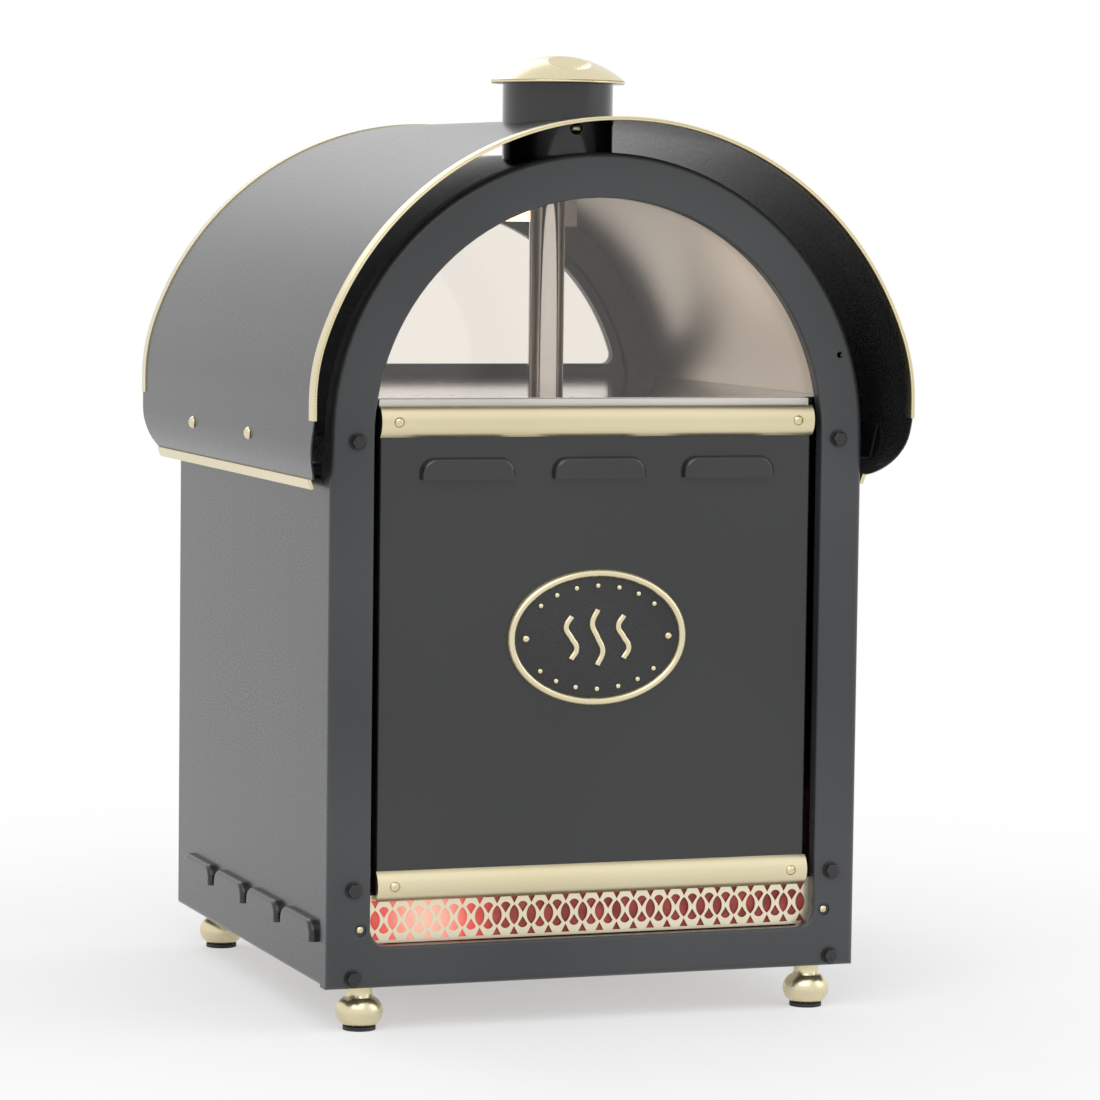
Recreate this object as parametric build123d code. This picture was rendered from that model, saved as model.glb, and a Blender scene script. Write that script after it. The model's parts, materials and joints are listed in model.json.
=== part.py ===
from build123d import *
import math
import os

# Counter-top oven that bakes potatoes below and shows them behind an arched window above.
# Millimetres. X runs to the right of a person who faces the window, Y runs to the back, Z is up.
# The origin lies on the counter, under the middle of the canopy.

# ---- overall form ----
FOOT_HEIGHT = 35.0
BODY_HALF_WIDTH = 222.0
BODY_FRONT = -199.0
BODY_REAR = 234.0
ARCH_CENTRE = 465.0
SHEET = 1.2
CANOPY_HALF_DEPTH = 258.0
CANOPY_HALF_WIDTH = 249.1
TOP_OF_CAP = 766.0

# ---- front frame ----
FRAME_FRONT = -217.0
FRAME_HALF_WIDTH = 223.0
FRAME_FACE = 5.0
FRAME_WALL = 4.0
OPENING_HALF_WIDTH = 187.5
OPENING_BOTTOM = 67.5
OPENING_CORNER = 15.0
LIP_DEPTH = 12.0
FRAME_ROUND = 5.0
LIP_ROUND = 2.5
BOLT_X = 201.8
BOLT_HEIGHTS = (462.5, 113.0, 43.5)
BOLT_FLATS = 10.0
BOLT_HEAD = 6.0
BOLT_FLANGE = 1.2
BOLT_FLANGE_RADIUS = 7.0
BOLT_RADIUS = 3.0
SCREW_X = 196.0
SCREW_HEIGHT = 81.5
RECESS_RADIUS = 5.2
RECESS_DEPTH = 1.8
SPARE_HOLE_HEIGHT = 529.5

# ---- front panel, strips, badge and grille ----
PANEL_FACE = -209.0
PANEL_HALF_WIDTH = 181.0
PANEL_BOTTOM = 107.5
PANEL_TOP = 487.0
PANEL_RETURN = 15.0
STRIP_HALF_LENGTH = 181.5
STRIP_HEIGHT = 24.0
STRIP_CROWN = 6.0
STRIP_EDGE = 1.0
STRIP_END_ANGLE = 36.0
TOP_STRIP_BOTTOM = 465.0
BOTTOM_STRIP_BOTTOM = 102.0
STRIP_SCREW_X = 167.5
STRIP_SCREW_SEAT = PANEL_FACE - STRIP_EDGE - STRIP_CROWN + 0.9
STRIP_SCREW_HOLE = 1.7
FRONT_LOUVRE_LENGTH = 77.0
SIDE_LOUVRE_LENGTH = 86.0
LOUVRE_HEIGHT = 17.0
LOUVRE_DEPTH = 6.5
LOUVRE_CORNER = 12.0
LOUVRE_ROUND = 4.0
FRONT_LOUVRE_PITCH = 109.5
FRONT_LOUVRE_BOTTOM = 432.0
SIDE_LOUVRE_PITCH = 99.0
SIDE_LOUVRE_FIRST = -146.0
SIDE_LOUVRE_BOTTOM = 69.0
BADGE_WIDTH = 151.0
BADGE_HEIGHT = 109.0
BADGE_CENTRE = 306.0
BADGE_RIM = 5.0
BADGE_THICKNESS = 5.0
BADGE_FIELD_THICKNESS = 2.0
BADGE_RELIEF = 2.0
BADGE_PIN_X = 60.0
WAVE_SWING = 4.5
WAVE_WIDTH = 5.0
BEADS_PER_SIDE = 7
BEAD_STEP = 17.0
GRILLE_REPEATS = 26
GRILLE_HEIGHT = 38.0
GRILLE_BOTTOM = 68.5
GRILLE_FACE = -205.0
GLOW_LAMP = (-138.0, -189.0, 84.0)
GLOW_LAMP_NECK = 16.0

# ---- window and display ----
GLASS_THICKNESS = 4.0
GLASS_FRONT = -203.0
GLASS_BOTTOM = 490.0
GLASS_RADIUS = 192.0
LINER_RADIUS = 210.0
DISPLAY_FLOOR = 494.0
FLOOR_HOLE_PITCH = 30.0
FLOOR_HOLE_COLUMNS = 12
FLOOR_HOLE_ROWS = (-184.0, -154.0, 146.0, 176.0)
FLOOR_HOLE_RADIUS = 2.2
FLUE_Y = -80.0
FLUE_RADIUS = 14.5
FLUE_WALL = 1.2
FLUE_TOP = 707.0
FLUE_HOLE = FLUE_RADIUS + 0.2
LAMP_Y = 60.0
LAMP_HEIGHT = 637.0
LAMP_HALF_LENGTH = 60.0
LAMP_RADIUS = 5.0

# ---- chimney ----
CHIMNEY_Y = -103.0
CHIMNEY_RADIUS = 44.5
CHIMNEY_WALL = 1.5
CHIMNEY_SCREW_HEIGHT = 707.5
CAP_RADIUS = 54.0
CAP_RIM_HEIGHT = 743.5
CAP_LIP = 2.5
CAP_WALL = 8.0
CAP_COLLAR = 10.0
VENT_RADIUS = 17.5
VENT_DEPTH = 5.0
VENT_OFFSET = 27.0

# ---- canopy ----
CROWN_CENTRE = 459.7
CROWN_RADIUS = 255.0
HAUNCH_RADIUS = 150.0
CURL_START = 468.0
CURL_RADIUS = 51.0
CURL_ANGLE = 45.0
CORNER_RADIUS = 66.0
CORNER_DROP = 0.5
TRIM_DEPTH = 12.0
TRIM_WALL = 0.9
TRIM_END = 480.5
LOWER_TRIM_WIDTH = 3.0
LOWER_TRIM_HEIGHT = 9.0
LOWER_TRIM_ANGLE = -20.0
RAIL_HEIGHT = 446.0
RAIL_WALL = 1.5
CANOPY_SCREW_HEIGHT = 462.0
CANOPY_SCREW_PLACES = (-75.0, 93.0)
DOME_SPHERE = 5.6
DOME_SINK = 2.2
DOME_SHANK_RADIUS = 2.0
DOME_SHANK = 12.0

# ---- feet ----
FOOT_X = 190.0
FOOT_FRONT = -197.0
FOOT_REAR = 205.0
BALL_RADIUS = 18.7
NECK_RADIUS = 11.2
PAD_HEIGHT = 3.0
PAD_RADIUS = 13.0

# ---- back of the body ----
REAR_PLATE_BACK = 210.0
REAR_PLATE = 1.5
REAR_ARCH_RADIUS = 185.0
REAR_SILL = 497.0
CONTROL_BOTTOM = 50.0
CONTROL_TOP = 144.0
CONTROL_HALF_WIDTH = 186.0
CONTROL_FACE = REAR_PLATE_BACK + 2.0

# ---- baking chamber ----
CHAMBER_HALF_WIDTH = 160.0
CHAMBER_BOTTOM = 165.0
CHAMBER_TOP = 455.0
CHAMBER_FRONT = -140.0
CHAMBER_FLANGE = 12.0
RACK_HEIGHTS = (232.0, 332.0)
RUNNER_HEIGHTS = (232.0, 282.0, 332.0, 382.0)
RUNNER_FRONT = -86.0
RUNNER_REAR = 192.0
RUNNER_LEDGE = 12.0
FAN_HEIGHT = 310.0
FAN_RADIUS = 65.0
FAN_DEPTH = 18.0
FAN_BLADES = 10
FAN_COVER_Y = -96.0
ELEMENT_RADIUS = 84.0
ROD_RADIUS = 3.5
ELEMENT_LEG_X = 12.0
SHAFT_RADIUS = 4.0
SPINDLE_RADIUS = 3.0

# ---- doors ----
DOOR_HALF_WIDTH = 190.0
DOOR_BOTTOM = 150.0
DOOR_TOP = 479.0
DOOR_INNER = 215.0
DOOR_OUTER = 233.0
DOOR_AXIS_X = -184.0
DOOR_AXIS_Y = 227.0
PIVOT_RADIUS = 3.0
FIT = 0.06
GAP = 0.3
HANDLE_X = 162.0
HANDLE_HEIGHTS = (270.0, 370.0)
HATCH_RADIUS = 198.0
HATCH_BOTTOM = 484.0
HATCH_INNER = 213.0
HATCH_OUTER = 225.0
HATCH_BORDER = 22.0
HATCH_CORNER = 8.0
HATCH_AXIS_Z = 490.0
HATCH_KNOB_HEIGHT = 652.0
HATCH_AXIS_Y = 219.0

# ---- controls ----
KNOB_RADIUS = 21.0
KNOB_HEIGHT = 20.0
KNOB_CENTRE_Z = 96.0
THERMOSTAT_X = -125.0
TIMER_X = -50.0
ROCKER_WIDTH = 13.0
ROCKER_HEIGHT = 22.0
ROCKER_X = (25.0, 62.0)
INDICATOR_HEIGHT = 130.0
ROCKER_TILT = 9.0
GLAND_X = 140.0
GLAND_HEIGHT = 80.0
CABLE_RADIUS = 3.5

TINY = 0.01
BIG = 1000.0


def face_plane(y):
    """Plane that looks to the front at depth y, with X to the right and Z up."""
    return Plane(origin=(0, y, 0), x_dir=(1, 0, 0), z_dir=(0, -1, 0))


def side_plane(x):
    """Plane square to X at x, with Y to the right and Z up."""
    return Plane(origin=(x, 0, 0), x_dir=(0, 1, 0), z_dir=(1, 0, 0))


def slab(sketch, y_front, depth):
    """A flat shape drawn in X and Z, given a thickness from y_front to the back."""
    return extrude(face_plane(y_front) * sketch, amount=-depth)


def block(x0, x1, y0, y1, z0, z1):
    """A plain box between two corners."""
    middle = ((x0 + x1) / 2, (y0 + y1) / 2, (z0 + z1) / 2)
    return Pos(*middle) * Box(x1 - x0, y1 - y0, z1 - z0)


def rod_y(x, z, y0, y1, radius):
    """A round bar along Y."""
    return Pos(x, (y0 + y1) / 2, z) * Rot(90, 0, 0) * Cylinder(radius, y1 - y0)


def rod_x(y, z, x0, x1, radius):
    """A round bar along X."""
    return Pos((x0 + x1) / 2, y, z) * Rot(0, 90, 0) * Cylinder(radius, x1 - x0)


def rod_z(x, y, z0, z1, radius):
    """A round bar along Z."""
    return Pos(x, y, (z0 + z1) / 2) * Cylinder(radius, z1 - z0)


def mirrored(shape):
    """A shape and its twin across the middle of the oven."""
    return [shape, mirror(shape, Plane.YZ)]


def arch(half_width, bottom, corner=0.0, centre=ARCH_CENTRE):
    """Round-topped outline: straight sides under a half circle."""
    height = centre - bottom
    lower = Pos(0, bottom + height / 2) * Rectangle(2 * half_width, height)
    outline = lower + Pos(0, centre) * Circle(half_width)
    outline -= Pos(0, bottom - half_width) * Rectangle(4 * half_width, 2 * half_width)
    if corner:
        low = outline.vertices().group_by(Axis.Y)[0]
        outline = fillet(low, corner)
    return outline


def segment(radius, bottom, centre=ARCH_CENTRE):
    """Part of a disc above a level line."""
    return Pos(0, centre) * Circle(radius) - Pos(0, bottom - BIG / 2) * Rectangle(BIG, BIG)


# ---------------- front ----------------


def front_frame():
    depth = BODY_FRONT - FRAME_FRONT
    outer = slab(arch(FRAME_HALF_WIDTH, FOOT_HEIGHT), FRAME_FRONT, depth)
    outer = fillet(outer.edges().group_by(Axis.Y)[0], FRAME_ROUND)
    inside = arch(FRAME_HALF_WIDTH - FRAME_WALL, FOOT_HEIGHT + FRAME_WALL)
    hollow = slab(inside, FRAME_FRONT + FRAME_FACE, depth)
    opening = arch(OPENING_HALF_WIDTH, OPENING_BOTTOM, OPENING_CORNER)
    lip_outline = arch(OPENING_HALF_WIDTH + FRAME_WALL, OPENING_BOTTOM - FRAME_WALL, OPENING_CORNER)
    lip = slab(lip_outline, FRAME_FRONT + 1.0, LIP_DEPTH - 1.0)
    frame = outer - hollow + lip - slab(opening, FRAME_FRONT - 1.0, depth + 2.0)
    reach = OPENING_HALF_WIDTH + 1.0
    front_edges = frame.edges().group_by(Axis.Y)[0]
    boxes = [(edge, edge.bounding_box()) for edge in front_edges]
    frame = fillet([edge for edge, box in boxes if box.max.X < reach and box.min.X > -reach], LIP_ROUND)
    for side in (-1, 1):
        for height in BOLT_HEIGHTS:
            frame -= rod_y(side * BOLT_X, height, FRAME_FRONT - 1, BODY_FRONT, BOLT_RADIUS + GAP)
        recess = FRAME_FRONT + RECESS_DEPTH
        frame -= rod_y(side * SCREW_X, SCREW_HEIGHT, FRAME_FRONT - 1, recess, RECESS_RADIUS)
        frame -= rod_y(side * SCREW_X, SCREW_HEIGHT, FRAME_FRONT - 1, BODY_FRONT, 2.2)
    return frame - rod_y(BOLT_X, SPARE_HOLE_HEIGHT, FRAME_FRONT - 1, BODY_FRONT, 2.6)


def hex_bolt(x, z):
    """Flanged hexagon bolt with its shank through the frame."""
    hexagon = Pos(x, z) * RegularPolygon(BOLT_FLATS / 2, 6, major_radius=False)
    head = slab(hexagon, FRAME_FRONT - BOLT_HEAD, BOLT_HEAD - BOLT_FLANGE)
    head = chamfer(head.edges().group_by(Axis.Y)[0], 0.7)
    flange = rod_y(x, z, FRAME_FRONT - BOLT_FLANGE, FRAME_FRONT, BOLT_FLANGE_RADIUS)
    shank = rod_y(x, z, FRAME_FRONT, BODY_FRONT - 0.5, BOLT_RADIUS)
    return head + flange + shank


def frame_bolts():
    return [hex_bolt(side * BOLT_X, z) for side in (-1, 1) for z in BOLT_HEIGHTS]


def round_head_screw(x, z, seat, head_radius, head_height, shank_radius, shank_length, turn=45.0):
    """Slotted round-head screw whose head stands in front of the depth called seat."""
    arc = ThreePointArc(
        (0, head_height), (head_radius * 0.72, head_height * 0.7), (head_radius, 0)
    )
    face = make_face(Wire([arc, Line((head_radius, 0), (0, 0)), Line((0, 0), (0, head_height))]))
    head = revolve(Plane.XZ * face, Axis.Z)
    head -= Pos(0, 0, head_height) * Rot(0, 0, turn) * Box(3 * head_radius, 1.0, head_height)
    shank = Pos(0, 0, -shank_length / 2) * Cylinder(shank_radius, shank_length)
    return Pos(x, seat, z) * Rot(90, 0, 0) * (head + shank)


def frame_screws():
    seat = FRAME_FRONT + RECESS_DEPTH
    return [round_head_screw(s * SCREW_X, SCREW_HEIGHT, seat, 3.3, 2.4, 2.0, 12.0) for s in (-1, 1)]


def trim_screws():
    out = []
    for bottom in (TOP_STRIP_BOTTOM, BOTTOM_STRIP_BOTTOM):
        for side in (-1, 1):
            z = bottom + STRIP_HEIGHT / 2
            out.append(round_head_screw(side * STRIP_SCREW_X, z, STRIP_SCREW_SEAT, 4.0, 1.8, 1.6, 9.0))
    return out


def window_glass():
    return slab(segment(GLASS_RADIUS, GLASS_BOTTOM), GLASS_FRONT, GLASS_THICKNESS)


def window_channel():
    half = STRIP_HALF_LENGTH - 1.0
    front = GLASS_FRONT - 1.2
    back = GLASS_FRONT + GLASS_THICKNESS + 1.2
    channel = block(-half, half, front, back, GLASS_BOTTOM - 1.5, GLASS_BOTTOM + 4.5)
    channel -= slab(segment(GLASS_RADIUS, GLASS_BOTTOM), GLASS_FRONT, GLASS_THICKNESS)
    return channel


def hood_outline(length, wall):
    """Outline of a hood and its mirror image below the open edge, inside a wall."""
    return RectangleRounded(length - 2 * wall, 2 * (LOUVRE_HEIGHT - wall), LOUVRE_CORNER - wall)


def hood(length, wall):
    """Pressed hood, drawn with its straight open edge along local X and its bulge along +Z."""
    bump = extrude(hood_outline(length, wall), amount=LOUVRE_DEPTH - wall)
    bump = fillet(bump.edges().group_by(Axis.Z)[-1], LOUVRE_ROUND - wall / 2)
    return bump - Pos(0, -BIG / 2, 0) * Box(BIG, BIG, BIG)


def add_louvre(panel, plane, length):
    """Presses one hood out of a sheet whose outer face lies on the plane."""
    inner = hood(length, SHEET)
    slot = extrude(hood_outline(length, SHEET), amount=-3 * SHEET)
    slot -= Pos(0, -BIG / 2, 0) * Box(BIG, BIG, BIG)
    panel += plane * (hood(length, 0.0) - inner)
    return panel - plane * (slot + inner)


def front_panel():
    half, back = PANEL_HALF_WIDTH, PANEL_FACE + PANEL_RETURN
    tray = block(-half, half, PANEL_FACE, back, PANEL_BOTTOM, PANEL_TOP)
    tray = fillet(tray.edges().filter_by(Axis.Z).group_by(Axis.Y)[0], 2.0)
    low, high, wall = PANEL_BOTTOM + SHEET, PANEL_TOP - SHEET, half - SHEET
    tray -= block(-wall, wall, PANEL_FACE + SHEET, back + 1, low, high)
    for i in (-1, 0, 1):
        spot = (i * FRONT_LOUVRE_PITCH, PANEL_FACE, FRONT_LOUVRE_BOTTOM)
        seat = Plane(origin=spot, x_dir=(1, 0, 0), z_dir=(0, -1, 0))
        tray = add_louvre(tray, seat, FRONT_LOUVRE_LENGTH)
    for side in (-1, 1):
        for bottom in (TOP_STRIP_BOTTOM, BOTTOM_STRIP_BOTTOM):
            z = bottom + STRIP_HEIGHT / 2
            tray -= rod_y(side * STRIP_SCREW_X, z, PANEL_FACE - 1, PANEL_FACE + 3, STRIP_SCREW_HOLE)
        tray -= rod_y(side * BADGE_PIN_X, BADGE_CENTRE, PANEL_FACE - 1, PANEL_FACE + 3, 1.5)
    return tray


def trim_strip(bottom):
    """Crowned strip with bevelled ends, lying on the front panel."""
    half = STRIP_HEIGHT / 2
    crown = ThreePointArc((-half, STRIP_EDGE), (0, STRIP_EDGE + STRIP_CROWN), (half, STRIP_EDGE))
    base = Polyline((half, STRIP_EDGE), (half, 0), (-half, 0), (-half, STRIP_EDGE))
    section = make_face(Wire([crown, *base.edges()]))
    # local x of the section runs up the strip and local y stands out of the panel
    seat = Plane(
        origin=(-STRIP_HALF_LENGTH, PANEL_FACE, bottom + half), x_dir=(0, 0, 1), z_dir=(1, 0, 0)
    )
    bar = extrude(seat * section, amount=2 * STRIP_HALF_LENGTH)
    for side in (-1, 1):
        corner = Pos(side * STRIP_HALF_LENGTH, PANEL_FACE - STRIP_EDGE, bottom + half)
        bar -= corner * Rot(0, 0, side * STRIP_END_ANGLE) * Pos(side * 10.0, 0, 0) * Box(20, 60, 60)
        spot = (side * STRIP_SCREW_X, bottom + half, PANEL_FACE - 20)
        bar -= rod_y(*spot, PANEL_FACE + 1, STRIP_SCREW_HOLE)
        bar -= rod_y(*spot, STRIP_SCREW_SEAT, 4.3)
    return bar


def badge_oval(inset):
    return Pos(0, BADGE_CENTRE) * Ellipse(BADGE_WIDTH / 2 - inset, BADGE_HEIGHT / 2 - inset)


def badge_plate():
    plate = slab(badge_oval(BADGE_RIM), PANEL_FACE - BADGE_FIELD_THICKNESS, BADGE_FIELD_THICKNESS)
    for side in (-1, 1):
        plate -= rod_y(side * BADGE_PIN_X, BADGE_CENTRE, PANEL_FACE - 5, PANEL_FACE + 1, 1.5)
    return plate


def badge_rim():
    ring = slab(badge_oval(0.0), PANEL_FACE - BADGE_THICKNESS, BADGE_THICKNESS)
    ring = fillet(ring.edges().group_by(Axis.Y)[0], 2.0)
    return ring - slab(badge_oval(BADGE_RIM), PANEL_FACE - 3 * BADGE_THICKNESS, 4 * BADGE_THICKNESS)


def heat_wave(x, height):
    """One upright S-shaped ribbon of raised metal."""
    quarter = height / 4
    spine = Spline(
        (x, BADGE_CENTRE - height / 2),
        (x + WAVE_SWING, BADGE_CENTRE - quarter),
        (x, BADGE_CENTRE),
        (x - WAVE_SWING, BADGE_CENTRE + quarter),
        (x, BADGE_CENTRE + height / 2),
    )
    ribbon = trace(spine, line_width=WAVE_WIDTH)
    return slab(ribbon, PANEL_FACE - BADGE_FIELD_THICKNESS - BADGE_RELIEF, BADGE_RELIEF)


def badge_motif():
    """Three plain heat waves between two rows of small beads."""
    out = [heat_wave(-22.0, 34.0), heat_wave(0.0, 44.0), heat_wave(22.0, 34.0)]
    field = PANEL_FACE - BADGE_FIELD_THICKNESS
    for side in (-1, 1):
        for i in range(BEADS_PER_SIDE):
            angle = math.radians(90 * side + (i - (BEADS_PER_SIDE - 1) / 2) * BEAD_STEP)
            x = (BADGE_WIDTH / 2 - 14.0) * math.cos(angle)
            z = BADGE_CENTRE + (BADGE_HEIGHT / 2 - 13.5) * math.sin(angle)
            out.append(rod_y(x, z, field - BADGE_RELIEF, field, 2.0))
    return out


def badge_pins():
    pin = round_head_screw(
        BADGE_PIN_X, BADGE_CENTRE, PANEL_FACE - BADGE_FIELD_THICKNESS, 3.0, 2.0, 1.4, 6.0, turn=0.0
    )
    return mirrored(pin)


def lens_outline(width, height):
    """Pointed oval made of two arcs."""
    left = ThreePointArc((0, -height / 2), (-width / 2, 0), (0, height / 2))
    right = ThreePointArc((0, height / 2), (width / 2, 0), (0, -height / 2))
    return make_face(Wire([left, right]))


def fan_outline(width, height):
    """Opening with its point at the origin and a round end above it."""
    shoulder = height * 0.68
    left = ThreePointArc((0, 0), (-width * 0.2, shoulder * 0.42), (-width / 2, shoulder))
    top = ThreePointArc((-width / 2, shoulder), (0, height), (width / 2, shoulder))
    right = ThreePointArc((width / 2, shoulder), (width * 0.2, shoulder * 0.42), (0, 0))
    return make_face(Wire([left, top, right]))


def grille():
    """Brass fretwork sheet: pointed ovals between rows of fans, with gussets along both edges."""
    pitch = 2 * OPENING_HALF_WIDTH / GRILLE_REPEATS
    half_length = OPENING_HALF_WIDTH + 2.5
    middle = GRILLE_BOTTOM + 18.0
    top = GRILLE_BOTTOM + GRILLE_HEIGHT
    sheet = Pos(0, (GRILLE_BOTTOM + top) / 2) * RectangleRounded(2 * half_length, GRILLE_HEIGHT, 12.0)
    sheet += Pos(0, top - 7.0) * Rectangle(2 * half_length, 14.0)
    eye = lens_outline(8.0, 16.0)
    fan = fan_outline(8.0, 9.0)
    gusset = Triangle(a=7.0, b=7.4, c=7.4)
    holes = []
    for i in range(GRILLE_REPEATS):
        x = (i - (GRILLE_REPEATS - 1) / 2) * pitch
        holes.append(Pos(x, middle) * eye)
        holes.append(Pos(x, middle - 13.5) * gusset)
        holes.append(Pos(x, middle + 13.5) * Rot(0, 0, 180) * gusset)
        if i < GRILLE_REPEATS - 1:
            holes.append(Pos(x + pitch / 2, middle + 1.6) * fan)
            holes.append(Pos(x + pitch / 2, middle - 1.6) * Rot(0, 0, 180) * fan)
    return slab(sheet - holes, GRILLE_FACE, 1.0)


def glow_lens():
    """Red translucent sheet behind the fretwork, bent back along its top and bottom."""
    half = OPENING_HALF_WIDTH
    top = BOTTOM_STRIP_BOTTOM + 0.5
    lens = block(-half, half, GRILLE_FACE + 2.0, GRILLE_FACE + 4.0, OPENING_BOTTOM + 0.5, top)
    lens += block(-half, half, GRILLE_FACE + 2.0, BODY_FRONT + 18.0, top - 2.0, top)
    return lens


def glow_lamp():
    """Small pear-shaped lamp that lies along the front."""
    x, y, z = GLOW_LAMP
    return Pos(x, y, z) * Sphere(8.0) + rod_x(y, z, x - GLOW_LAMP_NECK, x, 6.0)


def glow_lamp_holder():
    """Holder of the small lamp on a bent bracket that stands on the base pan."""
    x, y, z = GLOW_LAMP
    front = x - GLOW_LAMP_NECK
    back = front - 18.0
    seat = FOOT_HEIGHT + 2 * SHEET
    bracket = block(back, back + 2.0, y - 8.0, y + 8.0, seat, z)
    bracket += block(back - 12.0, back + 2.0, y - 8.0, y + 8.0, seat, seat + SHEET)
    return rod_x(y, z, back, front, 8.5) + bracket


# ---------------- body ----------------


def side_panel(side):
    """Flat side sheet with its lower and rear edges bent inwards and four pressed hoods."""
    outer = side * BODY_HALF_WIDTH
    inner = side * (BODY_HALF_WIDTH - SHEET)
    turn = side * (BODY_HALF_WIDTH - 14.0)
    panel = block(min(outer, turn), max(outer, turn), BODY_FRONT, BODY_REAR, FOOT_HEIGHT, ARCH_CENTRE)
    corner = panel.edges().filter_by(Axis.Y).group_by(Axis.Z)[0].sort_by(Axis.X)[0 if side < 0 else -1]
    back = panel.edges().filter_by(Axis.Z).group_by(Axis.Y)[-1].sort_by(Axis.X)[0 if side < 0 else -1]
    panel = fillet([corner, back], 4.0)
    low, high = (inner, turn + 1) if side < 0 else (turn - 1, inner)
    panel -= block(low, high, BODY_FRONT - 1, BODY_REAR - SHEET, FOOT_HEIGHT + SHEET, ARCH_CENTRE + 1)
    for i in range(4):
        spot = (outer, SIDE_LOUVRE_FIRST + i * SIDE_LOUVRE_PITCH, SIDE_LOUVRE_BOTTOM)
        seat = Plane(origin=spot, x_dir=(0, side, 0), z_dir=(side, 0, 0))
        panel = add_louvre(panel, seat, SIDE_LOUVRE_LENGTH)
    return panel


def barrel(radius, wall, y0, y1, bottom=ARCH_CENTRE):
    """Curved sheet: a strip of tube along Y above a level."""
    ring = segment(radius, bottom) - segment(radius - wall, bottom - 1)
    return slab(ring, y0, y1 - y0)


def display_roof():
    roof = barrel(BODY_HALF_WIDTH, SHEET, BODY_FRONT, BODY_REAR)
    return roof - rod_z(0, CHIMNEY_Y, 600, 800, CHIMNEY_RADIUS - CHIMNEY_WALL - 4.0)


def display_liner():
    y0, y1 = GLASS_FRONT + GLASS_THICKNESS + 1.5, REAR_PLATE_BACK - REAR_PLATE
    liner = barrel(LINER_RADIUS, 1.0, y0, y1, DISPLAY_FLOOR + SHEET)
    return liner - rod_z(0, FLUE_Y, 600, 800, FLUE_HOLE)


def display_floor():
    half = math.sqrt((LINER_RADIUS - 1.5) ** 2 - (DISPLAY_FLOOR - ARCH_CENTRE) ** 2)
    y0, y1 = GLASS_FRONT + GLASS_THICKNESS + 2.0, REAR_PLATE_BACK - REAR_PLATE
    floor = block(-half, half, y0, y1, DISPLAY_FLOOR, DISPLAY_FLOOR + SHEET)
    floor -= rod_z(0, FLUE_Y, DISPLAY_FLOOR - 5, DISPLAY_FLOOR + 5, FLUE_HOLE)
    middle = (FLOOR_HOLE_COLUMNS - 1) / 2
    columns = [(i - middle) * FLOOR_HOLE_PITCH for i in range(FLOOR_HOLE_COLUMNS)]
    holes = [Pos(x, y) * RegularPolygon(FLOOR_HOLE_RADIUS, 8) for x in columns for y in FLOOR_HOLE_ROWS]
    cutter = extrude(Pos(0, 0, DISPLAY_FLOOR - 1) * (Sketch() + holes), amount=4)
    return floor - cutter


def display_lamp():
    """Tubular heat lamp above the goods."""
    return rod_x(LAMP_Y, LAMP_HEIGHT, -LAMP_HALF_LENGTH, LAMP_HALF_LENGTH, LAMP_RADIUS)


def display_lamp_holders():
    """Ceramic blocks that hang the lamp from the liner."""
    half, x0, x1 = 9.0, LAMP_HALF_LENGTH, LAMP_HALF_LENGTH + 14.0
    hanger = block(x0, x1, LAMP_Y - half, LAMP_Y + half, LAMP_HEIGHT - half, LAMP_HEIGHT + 60.0)
    return mirrored(hanger & slab(segment(LINER_RADIUS - 1.0, LAMP_HEIGHT - 20.0), 0, 2 * LAMP_Y))


def flue_tube():
    """Polished steam duct from the baking chamber to the chimney."""
    tube = rod_z(0, FLUE_Y, CHAMBER_TOP + SHEET, FLUE_TOP, FLUE_RADIUS)
    return tube - rod_z(0, FLUE_Y, CHAMBER_TOP - 1, FLUE_TOP + 1, FLUE_RADIUS - FLUE_WALL)


def base_pan():
    inner = BODY_HALF_WIDTH - SHEET
    wide = inner - 13.0
    y0, y1, low = BODY_FRONT, REAR_PLATE_BACK - REAR_PLATE, FOOT_HEIGHT + SHEET
    pan = block(-wide, wide, y0, y1, FOOT_HEIGHT, FOOT_HEIGHT + 16.0)
    pan -= block(-wide + SHEET, wide - SHEET, y0 + SHEET, y1 - SHEET, low, FOOT_HEIGHT + 30.0)
    pan += block(-inner, inner, y0, BODY_REAR - SHEET, low, low + SHEET)
    return pan + block(-wide, wide, y1, BODY_REAR - SHEET, FOOT_HEIGHT, low)


def foot_profile():
    """Half outline of a turned ball foot: neck, round ball, flat underside."""
    lower = ThreePointArc((PAD_RADIUS - 2.0, PAD_HEIGHT), (BALL_RADIUS, 14.0), (NECK_RADIUS, 26.0))
    cove = ThreePointArc((NECK_RADIUS, 26.0), (NECK_RADIUS - 1.2, 30.0), (NECK_RADIUS, FOOT_HEIGHT))
    base = PAD_RADIUS - 2.0
    rest = Polyline((NECK_RADIUS, FOOT_HEIGHT), (0, FOOT_HEIGHT), (0, PAD_HEIGHT), (base, PAD_HEIGHT))
    return make_face(Wire([lower, cove, *rest.edges()]))


def feet():
    foot = revolve(Plane.XZ * foot_profile(), Axis.Z)
    return [Pos(x, y, 0) * foot for x in (-FOOT_X, FOOT_X) for y in (FOOT_FRONT, FOOT_REAR)]


def foot_pads():
    pad = rod_z(0, 0, 0, PAD_HEIGHT, PAD_RADIUS)
    return [Pos(x, y, 0) * pad for x in (-FOOT_X, FOOT_X) for y in (FOOT_FRONT, FOOT_REAR)]


# ---------------- canopy and chimney ----------------


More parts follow.
